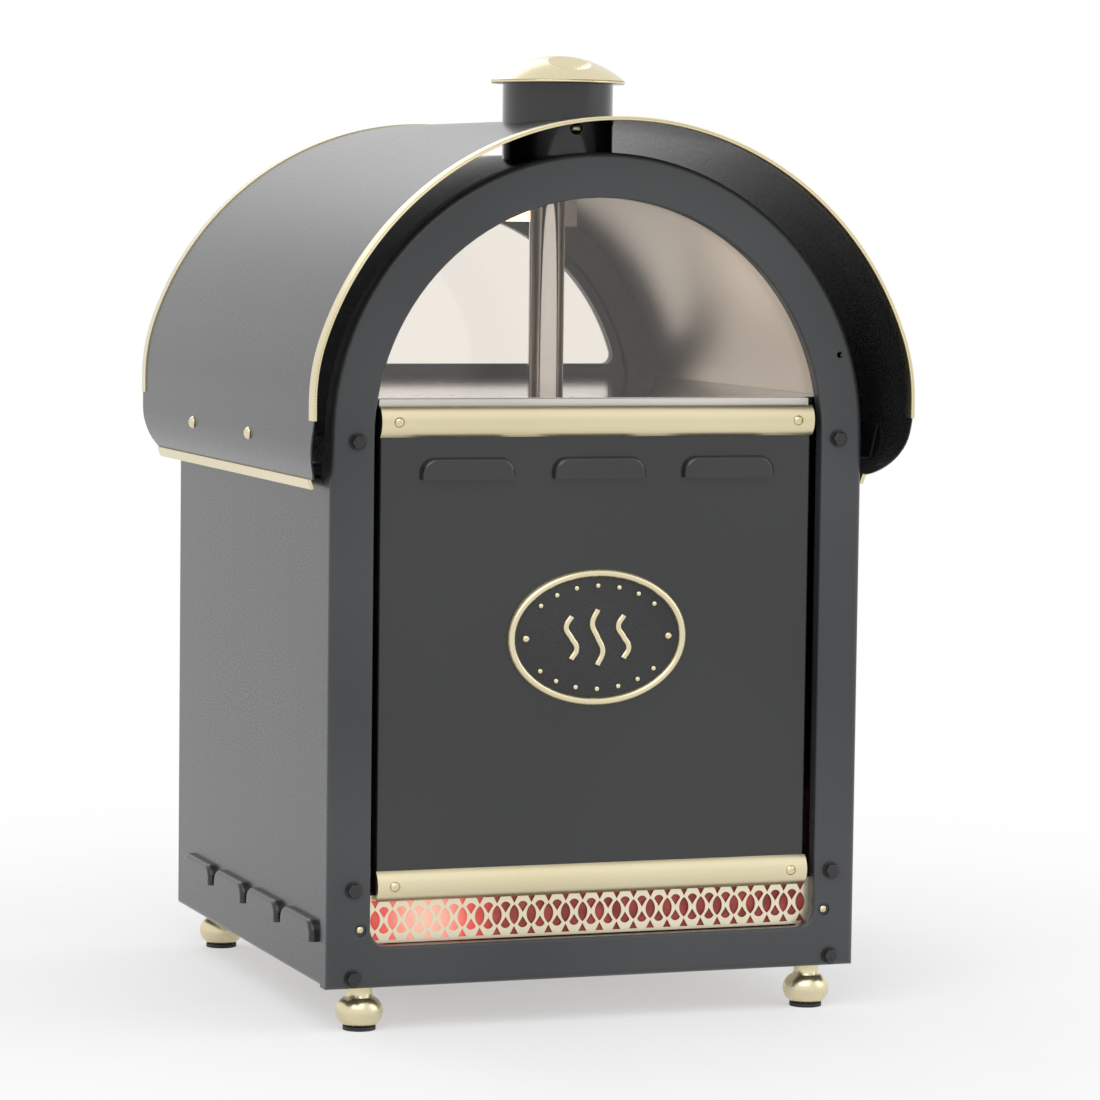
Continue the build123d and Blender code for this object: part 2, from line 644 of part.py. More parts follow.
def canopy_outline(offset, bottom):
    """Arch of three arcs with straight sides, grown by the offset and cut level at the bottom."""
    step = CROWN_RADIUS - HAUNCH_RADIUS
    reach = CANOPY_HALF_WIDTH - HAUNCH_RADIUS
    angle = math.acos(reach / step)
    centre_x, centre_z = reach, CROWN_CENTRE + step * math.sin(angle)

    def haunch(turn):
        radius = HAUNCH_RADIUS + offset
        return (centre_x + radius * math.cos(turn), centre_z + radius * math.sin(turn))

    joint, middle, spring = haunch(angle), haunch(angle / 2), haunch(0.0)
    crown = (0, CROWN_CENTRE + CROWN_RADIUS + offset)
    edges = [
        Line((-spring[0], bottom), (-spring[0], spring[1])),
        ThreePointArc((-spring[0], spring[1]), (-middle[0], middle[1]), (-joint[0], joint[1])),
        ThreePointArc((-joint[0], joint[1]), crown, joint),
        ThreePointArc(joint, middle, spring),
        Line(spring, (spring[0], bottom)),
        Line((spring[0], bottom), (-spring[0], bottom)),
    ]
    return make_face(Wire(edges))


def curl_reach(height, radius):
    """Distance from the middle of the oven to a circle of the curl, at a height."""
    return CANOPY_HALF_WIDTH - CURL_RADIUS + math.sqrt(radius**2 - (CURL_START - height) ** 2)


def curl_band(side):
    """The curled lower part of the sheet on one side."""
    centre = (side * (CANOPY_HALF_WIDTH - CURL_RADIUS), CURL_START)
    ring = Pos(*centre) * (Circle(CURL_RADIUS) - Circle(CURL_RADIUS - SHEET))
    reach = 2 * CURL_RADIUS
    end = (
        centre[0] + side * reach * math.cos(math.radians(CURL_ANGLE)),
        centre[1] - reach * math.sin(math.radians(CURL_ANGLE)),
    )
    corner = (centre[0] + side * reach, centre[1])
    far = (corner[0], end[1])
    return ring & make_face(Polyline(centre, corner, far, end, centre))


def canopy_sheet():
    """One rolled sheet over the body, curled inwards below, with rounded front corners."""
    arch_band = canopy_outline(0.0, CURL_START) - canopy_outline(-SHEET, CURL_START - 1)
    band = arch_band + curl_band(-1) + curl_band(1)
    length = 2 * (CANOPY_HALF_DEPTH - TRIM_WALL)
    sheet = slab(band, -length / 2, length)
    sheet -= rod_z(0, CHIMNEY_Y, 650, 780, CHIMNEY_RADIUS + GAP)
    # the round of the corner starts just below the edge, so that it cuts the edge and doesn't only touch it
    low = CURL_START - CURL_RADIUS * math.sin(math.radians(CURL_ANGLE)) - CORNER_DROP
    square = Pos(-CANOPY_HALF_DEPTH, low) * Rectangle(2 * CORNER_RADIUS, 2 * CORNER_RADIUS)
    disc = Pos(-CANOPY_HALF_DEPTH + CORNER_RADIUS, low + CORNER_RADIUS) * Circle(CORNER_RADIUS)
    sheet -= extrude(side_plane(-BIG / 2) * (square - disc), amount=BIG)
    for y in CANOPY_SCREW_PLACES:
        sheet -= rod_x(y, CANOPY_SCREW_HEIGHT, -BIG, BIG, 2.6)
    return sheet


def canopy_edge_trim(front):
    """U-shaped bright channel pushed over the arched edge of the canopy."""
    outer = canopy_outline(TRIM_WALL, TRIM_END)
    inner = canopy_outline(-SHEET - TRIM_WALL, TRIM_END - 1)
    y0 = -CANOPY_HALF_DEPTH if front else CANOPY_HALF_DEPTH - TRIM_DEPTH
    channel = slab(outer - inner, y0, TRIM_DEPTH)
    sheet = canopy_outline(0.0, TRIM_END - 5) - canopy_outline(-SHEET, TRIM_END - 6)
    length = 2 * (CANOPY_HALF_DEPTH - TRIM_WALL)
    return channel - slab(sheet, -length / 2, length)


def canopy_lower_trims():
    """Bright strips along both curled lower edges."""
    angle = math.radians(CURL_ANGLE)
    edge_x = CANOPY_HALF_WIDTH - CURL_RADIUS + CURL_RADIUS * math.cos(angle)
    edge_z = CURL_START - CURL_RADIUS * math.sin(angle)
    spot = Pos(edge_x - 0.9, edge_z - 3.4) * Rot(0, 0, LOWER_TRIM_ANGLE)
    section = spot * RectangleRounded(LOWER_TRIM_WIDTH, LOWER_TRIM_HEIGHT, 1.2)
    y0 = -CANOPY_HALF_DEPTH + CORNER_RADIUS - 4.0
    strip = slab(section, y0, CANOPY_HALF_DEPTH - TRIM_WALL - y0)
    sheet = slab(curl_band(1), -CANOPY_HALF_DEPTH, 2 * CANOPY_HALF_DEPTH)
    return mirrored(strip - sheet)


def canopy_rails():
    """Z-shaped rails that carry the canopy on the sides of the body."""
    x0, y0, y1 = BODY_HALF_WIDTH, BODY_FRONT + 6.0, BODY_REAR - 6.0
    x1 = curl_reach(RAIL_HEIGHT, CURL_RADIUS - SHEET) - 2.0
    rail = block(x0, x0 + RAIL_WALL, y0, y1, RAIL_HEIGHT - 14.0, RAIL_HEIGHT)
    rail += block(x0, x1, y0, y1, RAIL_HEIGHT - RAIL_WALL, RAIL_HEIGHT)
    leg = Pos(x1, RAIL_HEIGHT - 0.5) * Rot(0, 0, -12.0) * Pos(0, 14.0) * Rectangle(RAIL_WALL, 28.0)
    rail += slab(leg, y0, y1 - y0)
    band = canopy_outline(5.0, CURL_START) - canopy_outline(-SHEET, CURL_START)
    rail -= slab(band, -CANOPY_HALF_DEPTH, 2 * CANOPY_HALF_DEPTH)
    for y in CANOPY_SCREW_PLACES:
        rail -= rod_x(y, CANOPY_SCREW_HEIGHT, x0 + 3.0, x0 + 40.0, DOME_SHANK_RADIUS + 0.2)
    return mirrored(rail)


def dome_screw():
    """Domed screw that points down, with the seat of its head at the origin."""
    head = Pos(0, 0, -DOME_SINK) * Sphere(DOME_SPHERE) - Pos(0, 0, -BIG / 2) * Box(BIG, BIG, BIG)
    return head + Pos(0, 0, -DOME_SHANK / 2) * Cylinder(DOME_SHANK_RADIUS, DOME_SHANK)


def canopy_screws():
    """Two domed screws in each side of the canopy, and one in the front of the chimney."""
    out = [Pos(0, CHIMNEY_Y - CHIMNEY_RADIUS, CHIMNEY_SCREW_HEIGHT) * Rot(90, 0, 0) * dome_screw()]
    for y in CANOPY_SCREW_PLACES:
        spot = Pos(CANOPY_HALF_WIDTH + TINY, y, CANOPY_SCREW_HEIGHT)
        out += mirrored(spot * Rot(0, 90, 0) * dome_screw())
    return out


def chimney():
    z1 = CAP_RIM_HEIGHT + 1.0
    tube = rod_z(0, CHIMNEY_Y, 660, z1, CHIMNEY_RADIUS)
    tube -= rod_z(0, CHIMNEY_Y, 650, z1 + 1, CHIMNEY_RADIUS - CHIMNEY_WALL)
    tube -= rod_y(0, ARCH_CENTRE, -300, 300, BODY_HALF_WIDTH)
    return tube - rod_y(0, CHIMNEY_SCREW_HEIGHT, CHIMNEY_Y - 60, CHIMNEY_Y, 2.2)


def chimney_cap():
    """Spun domed cap with a rolled rim and a dished vent in its front slope."""
    lip_z = CAP_RIM_HEIGHT + CAP_LIP
    rise = TOP_OF_CAP - lip_z
    dome_r = (CAP_RADIUS**2 + rise**2) / (2 * rise)
    dome_centre = Pos(0, CHIMNEY_Y, TOP_OF_CAP - dome_r)
    dome = dome_centre * Sphere(dome_r) - Pos(0, 0, lip_z - BIG / 2) * Box(BIG, BIG, BIG)
    lip = fillet(rod_z(0, CHIMNEY_Y, CAP_RIM_HEIGHT, lip_z, CAP_RADIUS).edges(), 1.0)
    outside, inside = CHIMNEY_RADIUS + 0.1, CHIMNEY_RADIUS - CHIMNEY_WALL - 0.1
    seat = rod_z(0, CHIMNEY_Y, CAP_RIM_HEIGHT - 1.0, CAP_RIM_HEIGHT + 1.0, outside)
    seat -= rod_z(0, CHIMNEY_Y, CAP_RIM_HEIGHT - 2.0, CAP_RIM_HEIGHT + 2.0, inside)
    cap = dome + lip - seat + rod_z(0, CHIMNEY_Y, CAP_RIM_HEIGHT - CAP_COLLAR, CAP_RIM_HEIGHT, inside)
    bore, under = CHIMNEY_RADIUS - CAP_WALL, CAP_RIM_HEIGHT - 2 * CAP_COLLAR
    cap -= dome_centre * Sphere(dome_r - CAP_WALL) & rod_z(0, CHIMNEY_Y, under, TOP_OF_CAP, bore)
    cap -= rod_z(0, CHIMNEY_Y, under, CAP_RIM_HEIGHT, bore)
    # the dish is cut by a ball that stands over the slope
    ball = (VENT_RADIUS**2 + VENT_DEPTH**2) / (2 * VENT_DEPTH)
    slope = math.degrees(math.asin(VENT_OFFSET / dome_r))
    level = math.sqrt(dome_r**2 - VENT_RADIUS**2)
    return cap - dome_centre * Rot(slope, 0, 0) * Pos(0, 0, level + ball - VENT_DEPTH) * Sphere(ball)


# ---------------- back ----------------


def rear_frame():
    """Back plate with an arched opening over a square one and a place for the controls."""
    inner = BODY_HALF_WIDTH - SHEET
    outline = arch(inner, FOOT_HEIGHT + 2 * SHEET)
    plate = slab(outline, REAR_PLATE_BACK - REAR_PLATE, REAR_PLATE)
    plate -= slab(segment(REAR_ARCH_RADIUS, REAR_SILL), 100, 200)
    mouth, bay = CHAMBER_HALF_WIDTH, CONTROL_HALF_WIDTH - 8.0
    plate -= block(-mouth, mouth, 100, 300, CHAMBER_BOTTOM, CHAMBER_TOP)
    return plate - block(-bay, bay, 100, 300, CONTROL_BOTTOM + 8, CONTROL_TOP - 8)


def oven_chamber():
    """Five-walled steel box that opens to the back, with a flange round its mouth."""
    w, wide = CHAMBER_HALF_WIDTH + SHEET, CHAMBER_HALF_WIDTH + CHAMBER_FLANGE
    back, low, high = REAR_PLATE_BACK - REAR_PLATE, CHAMBER_BOTTOM, CHAMBER_TOP
    box = block(-w, w, CHAMBER_FRONT - SHEET, back, low - SHEET, high + SHEET)
    box += block(-wide, wide, back - 1.5, back, low - CHAMBER_FLANGE, high + CHAMBER_FLANGE)
    box -= block(-CHAMBER_HALF_WIDTH, CHAMBER_HALF_WIDTH, CHAMBER_FRONT, back + 1, low, high)
    box -= rod_z(0, FLUE_Y, CHAMBER_TOP - 5, CHAMBER_TOP + 5, FLUE_RADIUS - FLUE_WALL)
    box -= rod_y(0, FAN_HEIGHT, CHAMBER_FRONT - 5, CHAMBER_FRONT + 5, SHAFT_RADIUS + 2.0)
    for side in (-1, 1):
        leg = side * ELEMENT_LEG_X
        box -= rod_y(leg, element_leg_height(), CHAMBER_FRONT - 5, CHAMBER_FRONT + 5, ROD_RADIUS + GAP)
    return box


def oven_insulation():
    """Blanket of mineral wool round the walls of the chamber."""
    w, grow = CHAMBER_HALF_WIDTH + SHEET, 22.0
    y0, y1 = CHAMBER_FRONT, REAR_PLATE_BACK - REAR_PLATE - 2.0
    top = DISPLAY_FLOOR - 4.0
    blanket = block(-w - grow, w + grow, y0, y1, CHAMBER_BOTTOM - SHEET - 12.0, top)
    blanket = fillet(blanket.edges().filter_by(Axis.Y), 8.0)
    blanket -= block(-w, w, y0 - 1, y1 + 1, CHAMBER_BOTTOM - SHEET, CHAMBER_TOP + SHEET)
    return blanket - rod_z(0, FLUE_Y, CHAMBER_TOP - 5, top + 5, FLUE_HOLE)


def rack_runners():
    """Pressed side supports with ledges for the racks."""
    wall, tip = CHAMBER_HALF_WIDTH, CHAMBER_HALF_WIDTH - RUNNER_LEDGE
    low, high = RUNNER_HEIGHTS[0] - 26.0, RUNNER_HEIGHTS[-1] + 20.0
    plate = block(wall - SHEET, wall, RUNNER_FRONT, RUNNER_REAR, low, high)
    for z in RUNNER_HEIGHTS:
        plate += block(tip, wall, RUNNER_FRONT, RUNNER_REAR, z - SHEET, z)
        plate += block(tip, tip + SHEET, RUNNER_FRONT, RUNNER_REAR, z - 6.0, z)
    for y in (-30.0, 53.0, 136.0):
        for z in RUNNER_HEIGHTS[:-1]:
            gap = side_plane(wall) * Pos(y, z + 24.0) * SlotOverall(60.0, 18.0)
            plate -= extrude(gap, amount=5.0, both=True)
    return mirrored(plate)


def six_sided_bar(start, end, radius):
    """Slim wire, drawn with six sides."""
    path = Vector(*end) - Vector(*start)
    plane = Plane(origin=start, z_dir=path)
    return extrude(plane * RegularPolygon(radius, 6), amount=path.length)


def oven_rack(z):
    """Chromed wire rack that lies on the runners."""
    half = CHAMBER_HALF_WIDTH - 3.0
    y0, y1 = RUNNER_FRONT + 4.0, RUNNER_REAR - 4.0
    rim, wire = 2.6, 1.8
    low = z + rim
    rack = six_sided_bar((-half, y0, low), (half, y0, low), rim)
    rack += six_sided_bar((-half, y1, low), (half, y1, low), rim)
    for side in (-1, 1):
        rack += six_sided_bar((side * (half - rim), y0, low), (side * (half - rim), y1, low), rim)
    count = 12
    for i in range(1, count):
        x = -half + 2 * half * i / count
        rack += six_sided_bar((x, y0, low + rim), (x, y1, low + rim), wire)
    return rack


def element_leg_height():
    return FAN_HEIGHT - math.sqrt(ELEMENT_RADIUS**2 - ELEMENT_LEG_X**2)


def heating_element():
    """Sheathed element in a ring round the fan, with both ends through the front wall."""
    y, low = CHAMBER_FRONT + 20.0, element_leg_height()
    top = (0, y, FAN_HEIGHT + ELEMENT_RADIUS)
    ring = ThreePointArc((ELEMENT_LEG_X, y, low), top, (-ELEMENT_LEG_X, y, low))
    rod = sweep(Plane(origin=ring @ 0, z_dir=ring % 0) * Circle(ROD_RADIUS), path=ring)
    for side in (-1, 1):
        rod += rod_y(side * ELEMENT_LEG_X, low, CHAMBER_FRONT - 12.0, y + ROD_RADIUS, ROD_RADIUS)
    return rod


def fan_wheel():
    """Blower wheel with curved blades between a disc and a ring."""
    y0 = CHAMBER_FRONT + 11.0
    disc = rod_y(0, FAN_HEIGHT, y0, y0 + 1.5, FAN_RADIUS)
    ring = rod_y(0, FAN_HEIGHT, y0 + FAN_DEPTH - 1.5, y0 + FAN_DEPTH, FAN_RADIUS)
    ring -= rod_y(0, FAN_HEIGHT, y0, y0 + 2 * FAN_DEPTH, FAN_RADIUS - 14.0)
    hub = rod_y(0, FAN_HEIGHT, y0, y0 + FAN_DEPTH, 11.0)
    wheel = disc + ring + hub
    blade = ThreePointArc((FAN_RADIUS - 22.0, 0), (FAN_RADIUS - 10.0, 4.0), (FAN_RADIUS - 1.0, 12.0))
    section = trace(blade, line_width=1.4)
    for i in range(FAN_BLADES):
        turned = Pos(0, FAN_HEIGHT) * Rot(0, 0, i * 360.0 / FAN_BLADES) * section
        wheel += slab(turned, y0 + 0.5, FAN_DEPTH - 1.0)
    return wheel - rod_y(0, FAN_HEIGHT, y0 - 1, y0 + FAN_DEPTH - 4.0, SHAFT_RADIUS + FIT)


def fan_motor():
    """Shaded-pole motor on the front wall of the chamber, with its shaft into the wheel."""
    back = CHAMBER_FRONT - SHEET
    body = rod_y(0, FAN_HEIGHT, back - 44.0, back - 8.0, 34.0)
    body = fillet(body.edges().group_by(Axis.Y)[0], 5.0)
    plate = block(-42.0, 42.0, back - 8.0, back - 5.0, FAN_HEIGHT - 42.0, FAN_HEIGHT + 42.0)
    shaft = rod_y(0, FAN_HEIGHT, back - 10.0, CHAMBER_FRONT + 11.0 + FAN_DEPTH - 4.5, SHAFT_RADIUS)
    motor = body + plate + shaft
    for x in (-36.0, 36.0):
        for z in (-36.0, 36.0):
            motor += rod_y(x, FAN_HEIGHT + z, back - 5.0, back, 3.5)
    return motor


def fan_cover():
    """Baffle in front of the fan, with an intake of slots and open sides."""
    half_x, half_z = 128.0, 118.0
    back = CHAMBER_FRONT
    low, high, wall = FAN_HEIGHT - half_z, FAN_HEIGHT + half_z, half_x - SHEET
    cover = block(-half_x, half_x, back, FAN_COVER_Y, low, high)
    cover -= block(-wall, wall, back - 1, FAN_COVER_Y - SHEET, low - 1, high + 1)
    for i in range(-3, 4):
        length = 2 * math.sqrt(48.0**2 - (13.0 * i) ** 2)
        slot = Pos(0, FAN_HEIGHT + 13.0 * i) * SlotOverall(length, 6.0)
        cover -= slab(slot, FAN_COVER_Y - 10.0, 20.0)
    for side in (-1, 1):
        for z in (-70.0, 0.0, 70.0):
            vent = Pos(back + 24.0, FAN_HEIGHT + z) * SlotOverall(50.0, 16.0, rotation=90)
            cover -= extrude(side_plane(side * half_x) * vent, amount=4.0, both=True)
    return cover


# ---------------- doors ----------------


def oven_door_panel():
    """Tray-shaped door skin with a dished field and a pivot block in each corner on the hinge side."""
    w, height = DOOR_HALF_WIDTH, DOOR_TOP - DOOR_BOTTOM
    middle = Pos(0, (DOOR_BOTTOM + DOOR_TOP) / 2)
    door = slab(middle * RectangleRounded(2 * w, height, 6.0), DOOR_INNER, DOOR_OUTER - DOOR_INNER)
    door = fillet(door.edges().group_by(Axis.Y)[-1], 3.0)
    field = middle * RectangleRounded(2 * w - 70.0, height - 70.0, 14.0)
    door -= slab(field, DOOR_OUTER - 1.5, 5.0)
    inside = middle * RectangleRounded(2 * (w - SHEET), height - 2 * SHEET, 5.0)
    door -= slab(inside, DOOR_INNER - 1, DOOR_OUTER - DOOR_INNER - 1.5 - SHEET + 1)
    x0, x1, back = DOOR_AXIS_X - 5.5, DOOR_AXIS_X + 7.0, DOOR_OUTER - 3.0
    for low in (DOOR_BOTTOM, DOOR_TOP - 16.0):
        door += block(x0, x1, DOOR_INNER + 3.0, back, low + 0.5, low + 15.5)
    for z0, z1 in ((DOOR_BOTTOM - 1, DOOR_BOTTOM + 12.0), (DOOR_TOP - 12.0, DOOR_TOP + 1)):
        door -= rod_z(DOOR_AXIS_X, DOOR_AXIS_Y, z0, z1, PIVOT_RADIUS + FIT)
    for z in HANDLE_HEIGHTS:
        door -= rod_y(HANDLE_X, z, DOOR_OUTER - 8, DOOR_OUTER + 1, 3.0)
    return door


def oven_door_liner():
    """Inner pan of the door: a flat rim for the gasket round a raised field that enters the mouth."""
    middle = Pos(0, (DOOR_BOTTOM + DOOR_TOP) / 2)
    rim = middle * RectangleRounded(2 * (DOOR_HALF_WIDTH - SHEET) - GAP, DOOR_TOP - DOOR_BOTTOM - 3.0, 5.0)
    raised = Pos(0, (CHAMBER_BOTTOM + CHAMBER_TOP) / 2) * RectangleRounded(298.0, 268.0, 12.0)
    sunk = Pos(0, (CHAMBER_BOTTOM + CHAMBER_TOP) / 2) * RectangleRounded(298.0 - 2 * SHEET, 265.6, 11.0)
    pan = slab(rim, DOOR_INNER, SHEET) + slab(raised, DOOR_INNER - 4.0, 4.0)
    return pan - slab(sunk, DOOR_INNER - 4.0 + SHEET, 10.0)


def oven_door_gasket():
    """Round-cornered sealing ring between the door and the mouth of the chamber."""
    centre = Pos(0, (CHAMBER_BOTTOM + CHAMBER_TOP) / 2)
    height = CHAMBER_TOP - CHAMBER_BOTTOM
    outer = centre * RectangleRounded(2 * CHAMBER_HALF_WIDTH + 20, height + 20, 12.0)
    inner = centre * RectangleRounded(2 * CHAMBER_HALF_WIDTH + 4, height + 4, 6.0)
    ring = slab(outer - inner, REAR_PLATE_BACK + GAP, DOOR_INNER - REAR_PLATE_BACK - GAP)
    return ring


def oven_door_handle():
    """Upright bow handle with two feet near the free edge of the door."""
    y = DOOR_OUTER + 17.0
    bar = rod_z(HANDLE_X, y, HANDLE_HEIGHTS[0] - 14.0, HANDLE_HEIGHTS[1] + 14.0, 6.0)
    bar = fillet(bar.edges(), 2.5)
    for z in HANDLE_HEIGHTS:
        bar += rod_y(HANDLE_X, z, DOOR_OUTER, y, 5.0)
        bar += rod_y(HANDLE_X, z, DOOR_OUTER - 7.0, DOOR_OUTER + 1.0, 2.9)
    return bar


def oven_door_pivots():
    """Angle brackets beside the oven door, each with a pin that enters the door."""
    out = []
    x0, x1, x2 = DOOR_AXIS_X - 22.0, DOOR_AXIS_X - 9.0, DOOR_AXIS_X + 6.0
    for arm_low, foot_low, pin_low in (
        (DOOR_BOTTOM - GAP - 3.0, DOOR_BOTTOM - GAP - 3.0, DOOR_BOTTOM - GAP - 3.0),
        (DOOR_TOP + GAP, DOOR_TOP + GAP + 3.0 - 18.0, DOOR_TOP - 10.0),
    ):
        arm = block(x0, x2, REAR_PLATE_BACK, DOOR_AXIS_Y + 5.0, arm_low, arm_low + 3.0)
        foot = block(x0, x1, REAR_PLATE_BACK, REAR_PLATE_BACK + 2.0, foot_low, foot_low + 18.0)
        pin = rod_z(DOOR_AXIS_X, DOOR_AXIS_Y, pin_low, pin_low + 13.0 + GAP, PIVOT_RADIUS)
        out.append(arm + foot + pin)
    return out


def door_catch():
    """Magnetic catch block behind the free edge of the oven door."""
    low, high = HANDLE_HEIGHTS[0] + 20.0, HANDLE_HEIGHTS[1] - 20.0
    return block(174.5, 186.5, REAR_PLATE_BACK, DOOR_INNER - GAP, low, high)


def hatch_outline(grow):
    """Outline of the display hatch: part of a disc over a level edge, with rounded corners."""
    outline = segment(HATCH_RADIUS + grow, HATCH_BOTTOM - grow)
    return fillet(outline.vertices(), HATCH_CORNER)


def display_door_frame():
    """Arched frame of the display hatch, with ears for its pivots."""
    frame = slab(hatch_outline(0.0), HATCH_INNER, HATCH_OUTER - HATCH_INNER)
    frame = fillet(frame.edges().group_by(Axis.Y)[-1], 2.0)
    frame -= slab(hatch_outline(-HATCH_BORDER), HATCH_INNER - 1, 30.0)
    frame -= slab(hatch_outline(-HATCH_BORDER + 6.0), HATCH_INNER + 3.0, GLASS_THICKNESS)
    for x0, x1 in ((-HATCH_RADIUS, -176.0), (176.0, HATCH_RADIUS)):
        frame -= rod_x(HATCH_AXIS_Y, HATCH_AXIS_Z, x0, x1, PIVOT_RADIUS + FIT)
    return frame - rod_y(0, HATCH_KNOB_HEIGHT, HATCH_INNER - 1, HATCH_OUTER + 1, 2.1)


def display_door_glass():
    return slab(hatch_outline(-HATCH_BORDER + 6.0), HATCH_INNER + 3.0, GLASS_THICKNESS)


def display_door_knob():
    """Turned knob at the top of the hatch."""
    z = HATCH_KNOB_HEIGHT
    grip = Pos(0, HATCH_OUTER + 16.0, z) * Sphere(9.0)
    stem = rod_y(0, z, HATCH_OUTER, HATCH_OUTER + 12.0, 4.5)
    shank = rod_y(0, z, HATCH_INNER + 1.0, HATCH_OUTER + 1.0, 2.0)
    return grip + stem + shank


def display_door_pivots():
    """Small brackets beside the hatch, each with a pin along its lower edge."""
    edge = math.sqrt(HATCH_RADIUS**2 - (HATCH_AXIS_Z - ARCH_CENTRE) ** 2) + 1.0
    low, high = HATCH_AXIS_Z - 5.0, HATCH_AXIS_Z + 5.0
    ear = block(edge, edge + 2.5, REAR_PLATE_BACK, HATCH_AXIS_Y + 5.0, low, high)
    ear += block(edge, edge + 12.0, REAR_PLATE_BACK, REAR_PLATE_BACK + 2.0, low, high)
    return mirrored(ear + rod_x(HATCH_AXIS_Y, HATCH_AXIS_Z, edge - 15.0, edge + 1.0, PIVOT_RADIUS))


# ---------------- controls ----------------


def control_panel():
    """Plate for knobs, switches and lamps at the foot of the back."""
    w = CONTROL_HALF_WIDTH
    centre = Pos(0, (CONTROL_BOTTOM + CONTROL_TOP) / 2)
    outline = centre * RectangleRounded(2 * w, CONTROL_TOP - CONTROL_BOTTOM, 5.0)
    plate = slab(outline, REAR_PLATE_BACK, CONTROL_FACE - REAR_PLATE_BACK)
    for x in (THERMOSTAT_X, TIMER_X):
        plate -= rod_y(x, KNOB_CENTRE_Z, 200, 230, SPINDLE_RADIUS + FIT)
    for x in ROCKER_X:
        plate -= block(x - 8.5, x + 8.5, 200, 230, KNOB_CENTRE_Z - 13.0, KNOB_CENTRE_Z + 13.0)
    for x in (THERMOSTAT_X, *ROCKER_X):
        plate -= rod_y(x, INDICATOR_HEIGHT, 200, 230, 3.0)
    return plate - rod_y(GLAND_X, GLAND_HEIGHT, 200, 230, 8.0)


def control_knob(x):
    """Knob with a skirt, a raised grip bar and a shaft through the panel."""
    y0 = CONTROL_FACE + GAP
    skirt = rod_y(x, KNOB_CENTRE_Z, y0, y0 + 4.0, KNOB_RADIUS)
    skirt = fillet(skirt.edges().group_by(Axis.Y)[-1], 1.5)
    drum = rod_y(x, KNOB_CENTRE_Z, y0, y0 + 9.0, KNOB_RADIUS - 5.0)
    drum = fillet(drum.edges().group_by(Axis.Y)[-1], 1.5)
    bar = Pos(x, KNOB_CENTRE_Z) * SlotOverall(2 * KNOB_RADIUS - 10.0, 8.0, rotation=90)
    grip = slab(bar, y0, KNOB_HEIGHT)
    grip = fillet(grip.edges().group_by(Axis.Y)[-1], 1.2)
    spindle = rod_y(x, KNOB_CENTRE_Z, REAR_PLATE_BACK - 14.0, y0 + 1.0, SPINDLE_RADIUS)
    return skirt + drum + grip + spindle


def control_bodies():
    """Thermostat and timer mechanisms behind the plate, each with a bore for its spindle."""
    out = []
    for x in (THERMOSTAT_X, TIMER_X):
        y0, low, high = REAR_PLATE_BACK - 30.0, KNOB_CENTRE_Z - 17.0, KNOB_CENTRE_Z + 17.0
        body = block(x - 19.0, x + 19.0, y0, REAR_PLATE_BACK, low, high)
        body = fillet(body.edges().filter_by(Axis.Y), 3.0)
        out.append(body - rod_y(x, KNOB_CENTRE_Z, REAR_PLATE_BACK - 14.5, 230, SPINDLE_RADIUS + FIT))
    return out


def switch_housings():
    """Bezels that carry the rocker switches."""
    out = []
    y0, y1, z, half = REAR_PLATE_BACK - 16.0, REAR_PLATE_BACK + 4.0, KNOB_CENTRE_Z, ROCKER_WIDTH / 2 + GAP
    for x in ROCKER_X:
        body = block(x - 8.3, x + 8.3, y0, y1 - 2.0, z - 12.8, z + 12.8)
        body += block(x - 10.5, x + 10.5, CONTROL_FACE, y1, z - 15.0, z + 15.0)
        body -= block(x - half, x + half, y0 + 4.0, y1 + 1, z - 11.9, z + 11.9)
        out.append(body - rod_x(REAR_PLATE_BACK, z, x - 8.0, x + 8.0, 1.5 + FIT))
    return out


def rocker(x):
    """Rocking key on a cross pin, drawn with its upper half out."""
    y0, y1 = REAR_PLATE_BACK, REAR_PLATE_BACK + 6.0
    h = ROCKER_HEIGHT / 2 - 0.6
    inner = ThreePointArc((y0 - 4.0, -4.0), (y0 - 5.0, 0), (y0 - 4.0, 4.0))
    upper = Polyline((y0 - 4.0, 4.0), (y0 + 1.0, h), (y1, h))
    outer = ThreePointArc((y1, h), (y1 - 1.6, 0), (y1, -h))
    lower = Polyline((y1, -h), (y0 + 1.0, -h), (y0 - 4.0, -4.0))
    section = make_face(Wire([inner, *upper.edges(), outer, *lower.edges()]))
    key = extrude(side_plane(x - ROCKER_WIDTH / 2) * section, amount=ROCKER_WIDTH)
    key += rod_x(y0, 0, x - 7.8, x + 7.8, 1.5)
    turned = Pos(0, y0, 0) * Rot(-ROCKER_TILT, 0, 0) * Pos(0, -y0, 0) * key
    return Pos(0, 0, KNOB_CENTRE_Z) * turned


def indicator_lamps():
    out = []
    for x in (THERMOSTAT_X, *ROCKER_X):
        lamp = rod_y(x, INDICATOR_HEIGHT, REAR_PLATE_BACK - 10.0, REAR_PLATE_BACK + 4.0, 2.9)
        rim = rod_y(x, INDICATOR_HEIGHT, CONTROL_FACE, CONTROL_FACE + 3.0, 4.2)
        out.append(lamp + fillet(rim.edges().group_by(Axis.Y)[-1], 1.2))
    return out


